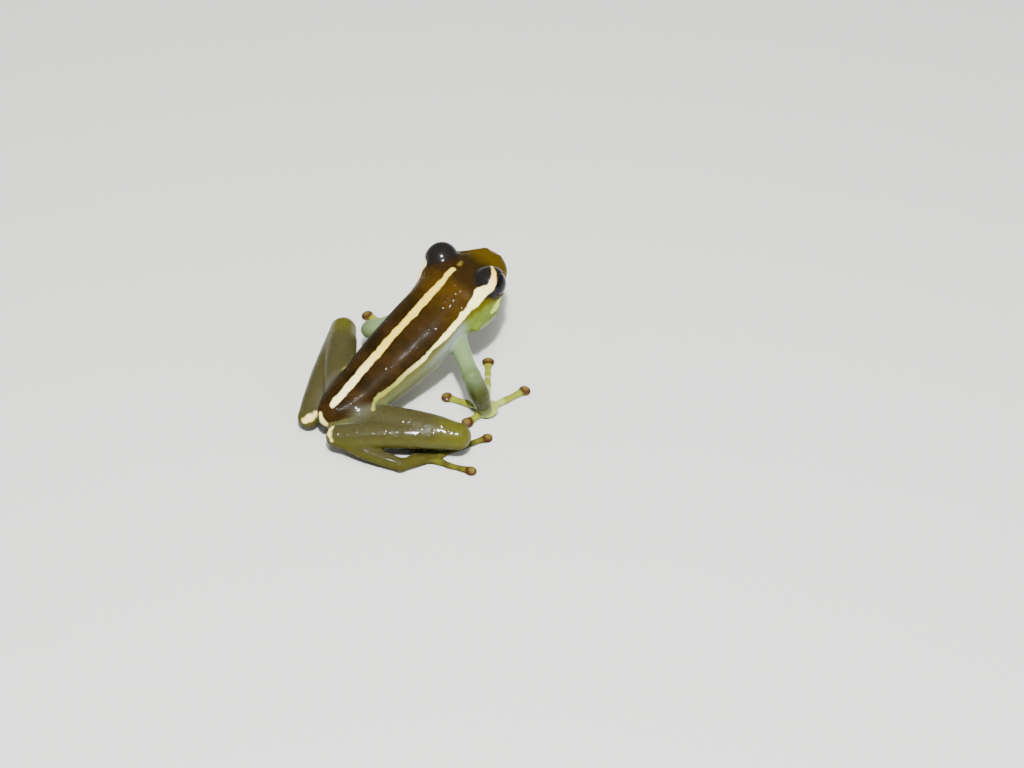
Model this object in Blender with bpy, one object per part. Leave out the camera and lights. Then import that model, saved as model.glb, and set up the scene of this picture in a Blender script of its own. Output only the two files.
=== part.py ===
"""Treasury island tree frog at rest, life size, as a still museum model.

The frog faces -Y, its left side is +X and it stands on the plane z = 0. Lengths below are in
millimetres, written as forward, left and up from the floor under the vent. They are turned into
metres when each node is finished. Neighbouring nodes meet on flat or fitted faces, a gap apart.
"""

import math

import bmesh
import bpy
import numpy as np
from mathutils import Vector

# Overall size
SNOUT_VENT = 36.0
SIZE = SNOUT_VENT / 36.0
GAP = 0.3
METRE = 0.001

# Body profile: forward, back line, belly line, half width, height of the widest line
BODY = (
    (-0.9, 6.1, 2.5, 2.3, 4.4),
    (1.5, 6.8, 1.8, 3.1, 4.5),
    (4.5, 7.8, 1.7, 3.8, 4.9),
    (7.5, 9.3, 2.1, 4.3, 5.7),
    (11.0, 11.2, 2.9, 4.8, 7.0),
    (14.5, 12.8, 3.8, 5.1, 8.3),
    (18.0, 14.3, 5.0, 5.3, 9.7),
    (21.0, 15.5, 6.6, 5.5, 11.0),
    (23.0, 16.2, 7.9, 6.0, 11.6),
    (24.8, 16.6, 8.8, 6.4, 11.9),
    (26.8, 16.7, 9.6, 6.5, 12.1),
    (29.0, 16.4, 10.4, 5.7, 12.5),
    (31.5, 15.7, 10.9, 4.4, 12.7),
    (33.5, 15.1, 11.3, 3.3, 12.9),
    (35.1, 14.6, 11.6, 2.3, 12.9),
)
RUMP_ROUNDING = 2.6
SNOUT_ROUNDING = 2.6
TRUNK_SIDES = 32
HEAD_SIDES = 44

# Head direction: it turns a little to the left ahead of the shoulders
HEAD_YAW = math.radians(9.0)
HEAD_TURN_START = 17.0
HEAD_TURN_END = 26.0
NECK = (22.6, 0.3, 11.8)
NECK_NORMAL = (0.96, 0.12, 0.26)

# Eyes, lids, eardrums, nostrils and mouth, in the head's own frame
EYE_MIDPOINT = (27.99, 1.25, 15.15)
EYE_SPREAD = 4.25
EYE_RADIUS = 2.0
EYE_SEAT = 0.1
EYE_LOOK = (0.30, 0.93, 0.20)
LID_THICKNESS = 0.26
LID_OPENING = 1.65
EARDRUM = (-3.1, 5.75, -2.5)
EARDRUM_RADIUS = 1.0
EARDRUM_RISE = 0.16
NOSTRIL = (5.95, 1.5, -0.62)
NOSTRIL_RADIUS = 0.3
MOUTH_CORNER = 24.9
MOUTH_LINE = ((24.9, 11.3), (27.0, 11.8), (30.0, 12.3), (33.0, 12.6), (35.2, 12.7))
MOUTH_DEPTH = 0.38
MOUTH_HEIGHT = 0.26

# Joints of the limbs
HIP = {"right": (3.4, -1.9, 4.3), "left": (3.4, 1.9, 4.3)}
KNEE = {"right": (12.1, -14.9, 3.9), "left": (13.8, 12.6, 3.8)}
HEEL = {"right": (0.0, -2.7, 2.2), "left": (-0.4, 3.3, 2.4)}
TARSAL = {"right": (4.1, -11.7, 1.2), "left": (6.6, 7.5, 1.15)}
SHOULDER = {"right": (21.3, -4.9, 9.8), "left": (20.6, 4.6, 9.5)}
ELBOW = {"right": (18.4, -10.8, 8.8), "left": (15.3, 8.1, 5.6)}
WRIST = {"right": (19.9, -11.9, 2.2), "left": (20.5, 9.6, 2.1)}
PALM = {"right": (20.9, -11.3, 0.93), "left": (21.9, 9.1, 0.93)}

# Digit tips on the floor, from the innermost digit to the outermost
FINGER_TIPS = {
    "right": ((16.8, -11.2), (18.3, -5.1), (27.4, -4.1), (28.1, -11.4)),
    "left": ((19.0, 5.0), (25.9, 4.5), (29.3, 11.6), (20.6, 16.0)),
}
TOE_TIPS = {
    "right": ((7.6, -7.0), (10.8, -8.2), (14.1, -10.7), (17.7, -15.4), (11.4, -19.0)),
    "left": ((11.0, 5.2), (13.7, 7.4), (16.5, 10.5), (16.0, 14.0), (12.3, 13.8)),
}

# Where the toes part from the foot: share of the way to the longest toe, and sideways step
FOOT_SHARE = 0.33
TOE_STEP = 0.55

# Limb radii from the root to the far end
THIGH_RADII = (2.35, 2.1, 1.8)
SHANK_RADII = (1.8, 1.65, 1.2)
TARSUS_RADII = (1.2, 1.0, 0.85)
TARSUS_BOW = 0.7
UPPER_ARM_RADII = (1.35, 1.1, 1.05)
FOREARM_RADII = (1.1, 1.3, 1.0)

# Hands and feet
PALM_RADIUS = 1.75
PALM_HEIGHT = 1.0
FINGER_RADIUS = 0.5
FINGER_DISC = 0.95
FINGER_ROOT = 2.05
TOE_RADIUS = 0.45
TOE_DISC = 0.8
DISC_HALF_HEIGHT = 0.5
DIGIT_HEIGHT = 0.42
DIGIT_ARCH = 0.1
WEB_REACH = (0.66, 0.66, 0.64, 0.6, 0.66)
WEB_THICKNESS = 0.5
WEB_HEIGHT = 0.4
WEB_HOLLOW = 0.26
METATARSAL_RADIUS = 0.9
METATARSAL_SHARE = 0.24

# Colours of the nodes, as linear red, green and blue
BACK_BROWN = (0.10, 0.05, 0.017)
HEAD_BROWN = (0.11, 0.062, 0.015)
LIMB_OLIVE = (0.16, 0.13, 0.045)
ARM_GREEN = (0.24, 0.28, 0.09)
FINGER_CREAM = (0.42, 0.47, 0.2)
EYE_BLACK = (0.01, 0.01, 0.012)

SKIN_ROUGHNESS = 0.3
EYE_ROUGHNESS = 0.05
LIMB_SIDES = 16
DIGIT_SIDES = 10


def row(point):
    """Turn forward, left, up into the model's X, Y, Z, still in millimetres."""
    forward, left, up = point
    return Vector((left, -forward, up)) * SIZE


def smooth(x, xs, ys):
    """Smooth curve through the table's rows without overshoot."""
    xs = np.asarray(xs, float)
    ys = np.asarray(ys, float)
    step = np.diff(xs)
    slope = np.diff(ys) / step
    tangent = np.empty(len(xs))
    tangent[0] = slope[0]
    tangent[-1] = slope[-1]
    for k in range(1, len(xs) - 1):
        if slope[k - 1] * slope[k] <= 0.0:
            tangent[k] = 0.0
        else:
            tangent[k] = 2.0 * slope[k - 1] * slope[k] / (slope[k - 1] + slope[k])
    x = min(max(x, xs[0]), xs[-1])
    k = min(int(np.searchsorted(xs, x, side="right")) - 1, len(xs) - 2)
    t = (x - xs[k]) / step[k]
    a = (1 + 2 * t) * (1 - t) ** 2 * ys[k]
    b = t * (1 - t) ** 2 * step[k] * tangent[k]
    c = t * t * (3 - 2 * t) * ys[k + 1]
    d = t * t * (t - 1) * step[k] * tangent[k + 1]
    return float(a + b + c + d)


def body_value(x, column):
    return smooth(x, [r[0] for r in BODY], [r[column] for r in BODY])


def body_yaw(x):
    """How far the body's middle line is turned to the left at this distance forward."""
    t = (x - HEAD_TURN_START) / (HEAD_TURN_END - HEAD_TURN_START)
    t = min(max(t, 0.0), 1.0)
    return HEAD_YAW * t * t * (3 - 2 * t)


def body_left(x):
    """Sideways place of the middle line, so that it passes between the eyes."""
    if x >= HEAD_TURN_END:
        return EYE_MIDPOINT[1] + (x - EYE_MIDPOINT[0]) * math.tan(HEAD_YAW)
    end = EYE_MIDPOINT[1] + (HEAD_TURN_END - EYE_MIDPOINT[0]) * math.tan(HEAD_YAW)
    t = max(x - HEAD_TURN_START, 0.0) / (HEAD_TURN_END - HEAD_TURN_START)
    return end * t ** 2.2


def end_rounding(x):
    """Shrinks the sections to a point at the rump and at the snout."""
    first = BODY[0][0]
    last = BODY[-1][0]
    from_rump = min((x - first) / RUMP_ROUNDING, 1.0)
    from_snout = min((last - x) / SNOUT_ROUNDING, 1.0)
    near = max(min(from_rump, from_snout), 0.0)
    return math.sqrt(max(1.0 - (1.0 - near) ** 2, 0.0))


def head_share(x):
    """0 on the trunk, 1 on the head, where the crown is flatter and the cheeks squarer."""
    t = min(max((x - 21.0) / 6.0, 0.0), 1.0)
    return t * t * (3 - 2 * t)


def body_point(x, angle, grow=0.0):
    """Point of the body's skin at an angle from the top, positive to the left."""
    rounding = end_rounding(x)
    middle = body_value(x, 4)
    above = (body_value(x, 1) - middle) * rounding + grow
    below = (middle - body_value(x, 2)) * rounding + grow
    width = body_value(x, 3) * rounding + grow
    s = math.sin(angle)
    c = math.cos(angle)
    square = 1.0 - 0.04 * head_share(x)
    across = width * math.copysign(abs(s) ** square, s)
    if c > 0.0:
        up = middle + above * c ** square
    else:
        up = middle - below * abs(c) ** (1.0 - 0.1 * head_share(x))
    yaw = body_yaw(x)
    return row((x - across * math.sin(yaw), body_left(x) + across * math.cos(yaw), up))


def face_out(bm):
    """Turn every face of a closed mesh to the outside."""
    bmesh.ops.recalc_face_normals(bm, faces=bm.faces)
    if bm.calc_volume(signed=True) < 0.0:
        bmesh.ops.reverse_faces(bm, faces=bm.faces)
    return bm


def body_mesh(stations, sides, grow=0.0):
    """Closed skin through the sections at these distances forward."""
    bm = bmesh.new()
    rings = []
    for x in stations:
        ring = []
        for k in range(sides):
            ring.append(bm.verts.new(body_point(x, 2 * math.pi * k / sides, grow)))
        rings.append(ring)
    for ring, after in zip(rings, rings[1:]):
        for k in range(sides):
            j = (k + 1) % sides
            bm.faces.new((ring[k], ring[j], after[j], after[k]))
    bm.faces.new(rings[0])
    bm.faces.new(rings[-1])
    face_out(bm)
    return bm


def spread(first, last, count, ease_first, ease_last):
    """Distances from first to last, closer together at the ends that are eased."""
    out = []
    for k in range(count):
        t = k / (count - 1)
        if ease_first and ease_last:
            t = 0.5 - 0.5 * math.cos(math.pi * t)
        elif ease_first:
            t = 1.0 - math.cos(0.5 * math.pi * t)
        elif ease_last:
            t = math.sin(0.5 * math.pi * t)
        out.append(first + (last - first) * t)
    return out


def curve_point(points, t):
    """Point on a smooth curve through the given points, t from 0 to 1."""
    spans = len(points) - 1
    k = min(int(t * spans), spans - 1)
    u = t * spans - k
    p1 = points[k]
    p2 = points[k + 1]
    p0 = points[k - 1] if k > 0 else p1 * 2 - p2
    p3 = points[k + 2] if k + 2 <= spans else p2 * 2 - p1
    a = p1 * 2
    b = (p2 - p0) * u
    c = (p0 * 2 - p1 * 5 + p2 * 4 - p3) * (u * u)
    d = (p1 * 3 - p0 - p2 * 3 + p3) * (u * u * u)
    return (a + b + c + d) * 0.5


def sweep(points, rings, sides, upward):
    """Closed tube along a curve. Each ring is a place, a half width and a half height."""
    bm = bmesh.new()
    loops = []
    for place, half_width, half_height in rings:
        inside = min(max(place, 0.0), 1.0)
        here = curve_point(points, inside)
        near = curve_point(points, max(inside - 0.01, 0.0))
        far = curve_point(points, min(inside + 0.01, 1.0))
        tangent = (far - near).normalized()
        side = tangent.cross(upward).normalized()
        up = side.cross(tangent).normalized()
        if place < 0.0 or place > 1.0:
            run = place if place < 0.0 else place - 1.0
            here = here + tangent * run * (points[-1] - points[0]).length
        loop = []
        for k in range(sides):
            angle = 2 * math.pi * k / sides
            offset = side * half_width * math.cos(angle) + up * half_height * math.sin(angle)
            loop.append(bm.verts.new(here + offset))
        loops.append(loop)
    for loop, after in zip(loops, loops[1:]):
        for k in range(sides):
            j = (k + 1) % sides
            bm.faces.new((loop[k], loop[j], after[j], after[k]))
    bm.faces.new(loops[0])
    bm.faces.new(loops[-1])
    face_out(bm)
    return bm


def limb(points, radii, sides=LIMB_SIDES, count=9, upward=Vector((0, 0, 1)), flat=1.0):
    """Round-ended limb whose radius runs through the three given radii."""
    length = (points[-1] - points[0]).length
    start = radii[0]
    end = radii[-1]
    rings = []
    for angle in (80, 55, 28):
        a = math.radians(angle)
        rings.append((-start * math.sin(a) / length, start * math.cos(a)))
    for k in range(count):
        t = k / (count - 1)
        rings.append((t, smooth(t, (0.0, 0.5, 1.0), radii)))
    for angle in (28, 55, 80):
        a = math.radians(angle)
        rings.append((1.0 + end * math.sin(a) / length, end * math.cos(a)))
    return sweep(points, [(t, r, r * flat) for t, r in rings], sides, upward)


def ball(centre, radii, segments=16, rings=10):
    bm = bmesh.new()
    bmesh.ops.create_uvsphere(bm, u_segments=segments, v_segments=rings, radius=1.0)
    for v in bm.verts:
        v.co = Vector((v.co.x * radii[0], v.co.y * radii[1], v.co.z * radii[2])) + centre
    return bm


def trim(bm, point, normal):
    """Cut the mesh flat through a point and keep the side that the normal points away from."""
    geometry = bm.verts[:] + bm.edges[:] + bm.faces[:]
    bmesh.ops.bisect_plane(bm, geom=geometry, dist=1e-5, plane_co=point, plane_no=normal, clear_outer=True)
    rim = [e for e in bm.edges if e.is_boundary]
    if rim:
        bmesh.ops.holes_fill(bm, edges=rim, sides=0)
    face_out(bm)
    return bm


def meet(bm, point, normal):
    """Trim at a joint, half a gap short of it."""
    direction = normal.normalized()
    return trim(bm, point - direction * (GAP / 2), direction)


def largest(bm):
    """Keep the biggest closed piece after a cut."""
    pieces = []
    left = set(bm.verts)
    while left:
        seed = left.pop()
        piece = {seed}
        queue = [seed]
        while queue:
            v = queue.pop()
            for e in v.link_edges:
                o = e.other_vert(v)
                if o in left:
                    left.remove(o)
                    piece.add(o)
                    queue.append(o)
        pieces.append(piece)
    pieces.sort(key=len, reverse=True)
    for piece in pieces[1:]:
        bmesh.ops.delete(bm, geom=list(piece), context="VERTS")
    return bm


def weld(bm):
    """Merge slivers left by a cut, with the smallest distance that leaves the mesh closed."""
    for distance in (0.0005, 0.002, 0.006, 0.015, 0.03):
        bmesh.ops.remove_doubles(bm, verts=bm.verts, dist=distance)
        bmesh.ops.dissolve_degenerate(bm, edges=bm.edges, dist=distance)
        bmesh.ops.triangulate(bm, faces=bm.faces)
        if all(e.is_manifold for e in bm.edges):
            break
    return face_out(bm)


def boolean(base, others, operation):
    """One Boolean of the base mesh with a collection of closed meshes."""
    group = bpy.data.collections.new("cutters")
    bpy.context.scene.collection.children.link(group)
    made = []
    for bm in others:
        bmesh.ops.triangulate(bm, faces=bm.faces)
        mesh = bpy.data.meshes.new("cutter")
        bm.to_mesh(mesh)
        bm.free()
        ob = bpy.data.objects.new("cutter", mesh)
        ob.hide_render = True
        ob.display_type = "WIRE"
        group.objects.link(ob)
        made.append(ob)
    bmesh.ops.triangulate(base, faces=base.faces)
    mesh = bpy.data.meshes.new("base")
    base.to_mesh(mesh)
    base.free()
    ob = bpy.data.objects.new("base", mesh)
    bpy.context.scene.collection.objects.link(ob)
    mod = ob.modifiers.new("cut", "BOOLEAN")
    mod.operand_type = "COLLECTION"
    mod.collection = group
    mod.operation = operation
    mod.solver = "EXACT"
    bpy.context.view_layer.update()
    graph = bpy.context.evaluated_depsgraph_get()
    result = bmesh.new()
    result.from_mesh(ob.evaluated_get(graph).to_mesh())
    for o in made + [ob]:
        bpy.data.objects.remove(o)
    bpy.data.collections.remove(group)
    return largest(weld(result))


def material(name, colour, roughness):
    mat = bpy.data.materials.new(name)
    mat.use_nodes = True
    shader = mat.node_tree.nodes["Principled BSDF"]
    shader.inputs["Base Color"].default_value = (*colour, 1.0)
    shader.inputs["Roughness"].default_value = roughness
    shader.inputs["Metallic"].default_value = 0.0
    mat.diffuse_color = (*colour, 1.0)
    return mat


def finish(name, bm, joint, mat):
    """Make the node, with its origin on its joint."""
    face_out(bm)
    origin = row(joint)
    for v in bm.verts:
        v.co = (v.co - origin) * METRE
    mesh = bpy.data.meshes.new(name)
    bm.to_mesh(mesh)
    bm.free()
    mesh.materials.append(mat)
    mesh.shade_smooth()
    mesh.set_sharp_from_angle(angle=math.radians(40))
    ob = bpy.data.objects.new(name, mesh)
    bpy.context.scene.collection.objects.link(ob)
    ob.location = origin * METRE
    ob.parent = frog
    return ob


def fold_normal(joint, first, second):
    """Normal of the plane that halves the angle at a joint, pointing away from the first bone."""
    a = (first - joint).normalized()
    b = (second - joint).normalized()
    return (b - a).normalized()


# The scene starts empty
for old in list(bpy.data.objects):
    bpy.data.objects.remove(old)

frog = bpy.data.objects.new("frog", None)
bpy.context.scene.collection.objects.link(frog)

skin_back = material("skin_back", BACK_BROWN, SKIN_ROUGHNESS)
skin_head = material("skin_head", HEAD_BROWN, SKIN_ROUGHNESS)
skin_leg = material("skin_leg", LIMB_OLIVE, SKIN_ROUGHNESS)
skin_arm = material("skin_arm", ARM_GREEN, SKIN_ROUGHNESS)
skin_digit = material("skin_digit", FINGER_CREAM, SKIN_ROUGHNESS)
cornea = material("cornea", EYE_BLACK, EYE_ROUGHNESS)

# Torso, from the rump to the neck
first = BODY[0][0]
last = BODY[-1][0]
torso_stations = spread(first + 0.03, 8.0, 9, True, False)[:-1] + spread(8.0, 24.5, 9, False, False)
torso = body_mesh(torso_stations, TRUNK_SIDES)
neck = row(NECK)
neck_normal = row(NECK_NORMAL).normalized()
meet(torso, neck, neck_normal)
finish("torso", torso, (3.4, 0.0, 4.3), skin_back)


# Head frame, with the eyes on its sideways axis
def head_place(point):
    forward, left, up = point
    c = math.cos(HEAD_YAW)
    s = math.sin(HEAD_YAW)
    x = EYE_MIDPOINT[0] + forward * c - left * s
    y = EYE_MIDPOINT[1] + forward * s + left * c
    return row((x, y, EYE_MIDPOINT[2] + up))


def head_direction(vector):
    return (head_place(vector) - head_place((0.0, 0.0, 0.0))).normalized()


def tube_between(start, end, radius, sides):
    direction = end - start
    helper = Vector((0, 0, 1)) if abs(direction.normalized().z) < 0.8 else Vector((1, 0, 0))
    return sweep([start, end], [(0.0, radius, radius), (1.0, radius, radius)], sides, helper)


def mouth_ribbon():
    """Thin band that follows the lips from one corner of the mouth to the other."""
    lips = []
    last_forward = BODY[-1][0] - 0.02
    count = 33
    for k in range(count):
        angle = math.pi * (k / (count - 1) - 0.5)
        x = MOUTH_CORNER + (last_forward - MOUTH_CORNER) * math.cos(angle)
        height = smooth(x, [r[0] for r in MOUTH_LINE], [r[1] for r in MOUTH_LINE])
        middle = body_value(x, 4)
        below = (middle - body_value(x, 2)) * end_rounding(x)
        drop = min(max((middle - height) / max(below, 0.05), -1.0), 1.0)
        turn = math.acos(-drop)
        side = -1.0 if angle < 0.0 else 1.0
        point = body_point(x, side * turn)
        point.z = height * SIZE
        if k == (count - 1) // 2:
            point = body_point(BODY[-1][0] - 0.001, 0.0)
            point.z = height * SIZE
        lips.append(point)
    bm = bmesh.new()
    loops = []
    for k, point in enumerate(lips):
        before = lips[max(k - 1, 0)]
        after = lips[min(k + 1, count - 1)]
        run = (after - before).normalized()
        outward = Vector((run.y, -run.x, 0.0)).normalized()
        centre = row((28.0, body_left(28.0), 12.5))
        if outward.dot(point - centre) < 0.0:
            outward = -outward
        half = Vector((0, 0, MOUTH_HEIGHT / 2))
        inner = point - outward * MOUTH_DEPTH
        outer = point + outward * 0.6
        loops.append([bm.verts.new(p) for p in (inner - half, outer - half * 2.2, outer + half * 2.2, inner + half)])
    for loop, after in zip(loops, loops[1:]):
        for k in range(4):
            j = (k + 1) % 4
            bm.faces.new((loop[k], loop[j], after[j], after[k]))
    bm.faces.new(loops[0])
    bm.faces.new(loops[-1])
    face_out(bm)
    return bm


# Head with lids, eardrums, nostrils and the line of the mouth
head = body_mesh(spread(19.5, last - 0.03, 20, False, True), HEAD_SIDES)
meet(head, neck, -neck_normal)
added = []
cut = [mouth_ribbon()]
for side in (1, -1):
    eye_centre = head_place((0.0, side * EYE_SPREAD, 0.0))
    look = head_direction((EYE_LOOK[0], side * EYE_LOOK[1], EYE_LOOK[2]))
    lid = EYE_RADIUS + EYE_SEAT + LID_THICKNESS
    added.append(ball(eye_centre, (lid, lid, lid), 22, 14))
    socket = EYE_RADIUS + EYE_SEAT
    cut.append(ball(eye_centre, (socket, socket, socket), 20, 14))
    cut.append(tube_between(eye_centre + look * 0.8, eye_centre + look * 4.0, LID_OPENING, 20))
    drum = head_place((EARDRUM[0], side * EARDRUM[1], EARDRUM[2]))
    facing = head_direction((-0.12, side * 0.95, 0.12))
    added.append(tube_between(drum - facing * 1.2, drum + facing * EARDRUM_RISE, EARDRUM_RADIUS, 16))
    nostril = head_place((NOSTRIL[0], side * NOSTRIL[1], NOSTRIL[2]))
    cut.append(ball(nostril, (NOSTRIL_RADIUS,) * 3, 8, 6))
head = boolean(head, added, "UNION")
head = boolean(head, cut, "DIFFERENCE")
finish("head", head, NECK, skin_head)

for side, label in ((1, "left"), (-1, "right")):
    centre = (EYE_MIDPOINT[0] - side * EYE_SPREAD * math.sin(HEAD_YAW),
              EYE_MIDPOINT[1] + side * EYE_SPREAD * math.cos(HEAD_YAW),
              EYE_MIDPOINT[2])
    eye = ball(row(centre), (EYE_RADIUS,) * 3, 18, 12)
    finish("eye_" + label, eye, centre, cornea)


# Limbs and digits
def body_hull():
    """The trunk grown by a gap, which seats the limb roots."""
    return body_mesh(torso_stations, TRUNK_SIDES, GAP)


def digit(path, start, end, radius, disc, whole=False):
    """Finger or toe along the floor, from a share of its length to its disc."""
    length = (path[-1] - path[0]).length
    rings = []
    stop = 1.0 - 2.0 / length if whole else end
    count = 6
    for k in range(count):
        t = start + (stop - start) * k / (count - 1)
        rings.append((t, radius, radius * 0.92))
    if whole:
        for back, share in ((1.62, 0.62), (1.25, 0.9), (0.85, 1.0), (0.45, 0.88), (0.15, 0.55), (0.02, 0.16)):
            rings.append((1.0 - back / length, disc * share, min(DISC_HALF_HEIGHT * (share ** 0.5), 0.5)))
    bm = sweep(path, rings, DIGIT_SIDES, Vector((0, 0, 1)))
    return bm


def finger_path(palm, tip):
    """A finger leaves the palm straight and arches a little before its disc."""
    end = row((tip[0], tip[1], DIGIT_HEIGHT))
    middle = palm.lerp(end, 0.55)
    middle.z = DIGIT_HEIGHT + DIGIT_ARCH
    return [palm, middle, end]


def toe_path(tarsal, tips, number):
    """A toe runs along the foot beside the longest one, then turns to its own tip."""
    longest = row((tips[3][0], tips[3][1], DIGIT_HEIGHT))
    end = row((tips[number][0], tips[number][1], DIGIT_HEIGHT))
    along = longest - tarsal
    inward = (row((tips[0][0], tips[0][1], DIGIT_HEIGHT)) - tarsal).normalized()
    sideways = (inward - along * (inward.dot(along) / along.length_squared)).normalized()
    middle = tarsal + along * (FOOT_SHARE - 0.03 * abs(number - 3)) + sideways * TOE_STEP * (3 - number)
    middle.z = DIGIT_HEIGHT + DIGIT_ARCH
    return [tarsal, middle, middle.lerp(end, 0.5), end]


floor = Vector((0, 0, 0))
down = Vector((0, 0, -1))

for side in ("right", "left"):
    # Arm
    shoulder = row(SHOULDER[side])
    elbow = row(ELBOW[side])
    wrist = row(WRIST[side])
    palm = row(PALM[side])
    bend = fold_normal(elbow, shoulder, wrist)
    upper = limb([shoulder, shoulder.lerp(elbow, 0.5), elbow], UPPER_ARM_RADII)
    meet(upper, elbow, bend)
    upper = boolean(upper, [body_hull()], "DIFFERENCE")
    finish("upper_arm_" + side, upper, SHOULDER[side], skin_arm)

    hand_bend = fold_normal(wrist, elbow, palm)
    forearm = limb([elbow, elbow.lerp(wrist, 0.5), wrist], FOREARM_RADII, upward=Vector((0, 1, 0)))
    meet(forearm, elbow, -bend)
    meet(forearm, wrist, hand_bend)
    finish("forearm_" + side, forearm, ELBOW[side], skin_arm)

    pads = []
    for number, tip in enumerate(FINGER_TIPS[side], 1):
        path = finger_path(palm, tip)
        share = FINGER_ROOT / (path[-1] - palm).length
        ray = digit(path, 0.0, share + 0.15, FINGER_RADIUS * 1.12, 0.0)
        here = curve_point(path, share)
        run = curve_point(path, share + 0.02) - here
        meet(ray, here, run)
        pads.append(ray)
        finger = digit(path, share - 0.1, 1.0, FINGER_RADIUS, FINGER_DISC, whole=True)
        meet(finger, here, -run)
        trim(finger, floor, down)
        finish("finger_{}_{}".format(number, side), finger, PALM[side], skin_digit)
    pads.append(limb([wrist, wrist.lerp(palm, 0.6)], (FOREARM_RADII[2], 1.0, 0.9), count=4))
    hand = ball(palm, (PALM_RADIUS, PALM_RADIUS, PALM_HEIGHT), 18, 10)
    hand = boolean(hand, pads, "UNION")
    meet(hand, wrist, -hand_bend)
    trim(hand, floor, down)
    finish("hand_" + side, largest(hand), WRIST[side], skin_digit)

    # Leg
    hip = row(HIP[side])
    knee = row(KNEE[side])
    heel = row(HEEL[side])
    tarsal = row(TARSAL[side])
    knee_fold = fold_normal(knee, hip, heel)
    thigh = limb([hip, hip.lerp(knee, 0.5), knee], THIGH_RADII)
    meet(thigh, knee, knee_fold)
    thigh = boolean(thigh, [body_hull()], "DIFFERENCE")
    finish("thigh_" + side, thigh, HIP[side], skin_leg)

    heel_fold = fold_normal(heel, knee, tarsal)
    shank = limb([knee, knee.lerp(heel, 0.5), heel], SHANK_RADII)
    meet(shank, knee, -knee_fold)
    meet(shank, heel, heel_fold)
    shank = boolean(shank, [body_hull()], "DIFFERENCE")
    finish("shank_" + side, shank, KNEE[side], skin_leg)

    outer = row((TOE_TIPS[side][3][0], TOE_TIPS[side][3][1], DIGIT_HEIGHT))
    foot_fold = fold_normal(tarsal, heel, outer)
    bow = (heel.lerp(tarsal, 0.5) - knee).normalized() * TARSUS_BOW
    tarsus = limb([heel, heel.lerp(tarsal, 0.5) + bow, tarsal], TARSUS_RADII, sides=12, count=7)
    meet(tarsus, heel, -heel_fold)
    meet(tarsus, tarsal, foot_fold)
    trim(tarsus, floor, down)
    finish("tarsus_" + side, tarsus, HEEL[side], skin_leg)

    rays = []
    tips = TOE_TIPS[side]
    for number, tip in enumerate(tips, 1):
        reach = WEB_REACH[number - 1]
        path = toe_path(tarsal, tips, number - 1)
        ray = digit(path, 0.0, reach + 0.05, TOE_RADIUS * 1.1, 0.0)
        here = curve_point(path, reach)
        run = curve_point(path, reach + 0.02) - here
        meet(ray, here, run)
        rays.append(ray)
        toe = digit(path, reach - 0.05, 1.0, TOE_RADIUS, TOE_DISC, whole=True)
        meet(toe, here, -run)
        trim(toe, floor, down)
        finish("toe_{}_{}".format(number, side), toe, TARSAL[side], skin_digit)
    for number in range(4):
        web = bmesh.new()
        near_path = toe_path(tarsal, tips, number)
        far_path = toe_path(tarsal, tips, number + 1)
        grids = []
        for lift in (-0.5, 0.5):
            grid = []
            for i in range(7):
                across = i / 6
                line = []
                for j in range(6):
                    along = 0.3 + 0.7 * j / 5
                    hollow = 1.0 - WEB_HOLLOW * math.sin(math.pi * across)
                    a = curve_point(near_path, WEB_REACH[number] * 0.97 * along * hollow)
                    b = curve_point(far_path, WEB_REACH[number + 1] * 0.97 * along * hollow)
                    p = a.lerp(b, across)
                    level = min(p.z, WEB_HEIGHT + (p.z - WEB_HEIGHT) * 0.9)
                    p.z = level + lift * WEB_THICKNESS
                    line.append(web.verts.new(p))
                grid.append(line)
            grids.append(grid)
        low, high = grids
        for i in range(6):
            for j in range(5):
                web.faces.new((low[i][j], low[i][j + 1], low[i + 1][j + 1]))
                web.faces.new((low[i][j], low[i + 1][j + 1], low[i + 1][j]))
                web.faces.new((high[i][j], high[i + 1][j + 1], high[i][j + 1]))
                web.faces.new((high[i][j], high[i + 1][j], high[i + 1][j + 1]))
        rim = [low[i][0] for i in range(7)] + [low[6][j] for j in range(1, 6)]
        rim += [low[i][5] for i in range(5, -1, -1)] + [low[0][j] for j in range(4, 0, -1)]
        top = [high[i][0] for i in range(7)] + [high[6][j] for j in range(1, 6)]
        top += [high[i][5] for i in range(5, -1, -1)] + [high[0][j] for j in range(4, 0, -1)]
        for k in range(len(rim)):
            j = (k + 1) % len(rim)
            web.faces.new((rim[k], rim[j], top[j], top[k]))
        face_out(web)
        rays.append(web)
    sole = tarsal.lerp(outer, METATARSAL_SHARE)
    sole.z = METATARSAL_RADIUS * 0.7
    foot = limb([tarsal, sole], (TARSUS_RADII[2], METATARSAL_RADIUS, METATARSAL_RADIUS), sides=12, count=4)
    foot = boolean(foot, rays, "UNION")
    meet(foot, tarsal, -foot_fold)
    trim(foot, floor, down)
    finish("foot_" + side, largest(foot), TARSAL[side], skin_digit)

# The origin lies at the middle of the model's box, on the floor
bpy.context.view_layer.update()
corners = []
for ob in bpy.data.objects:
    if ob.type == "MESH":
        corners += [ob.matrix_world @ v.co for v in ob.data.vertices]
low_x = min(p.x for p in corners)
high_x = max(p.x for p in corners)
low_y = min(p.y for p in corners)
high_y = max(p.y for p in corners)
frog.location = (-(low_x + high_x) / 2, -(low_y + high_y) / 2, 0.0)
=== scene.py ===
import math

import bmesh
import bpy
import numpy as np
from mathutils import Matrix, Vector


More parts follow.
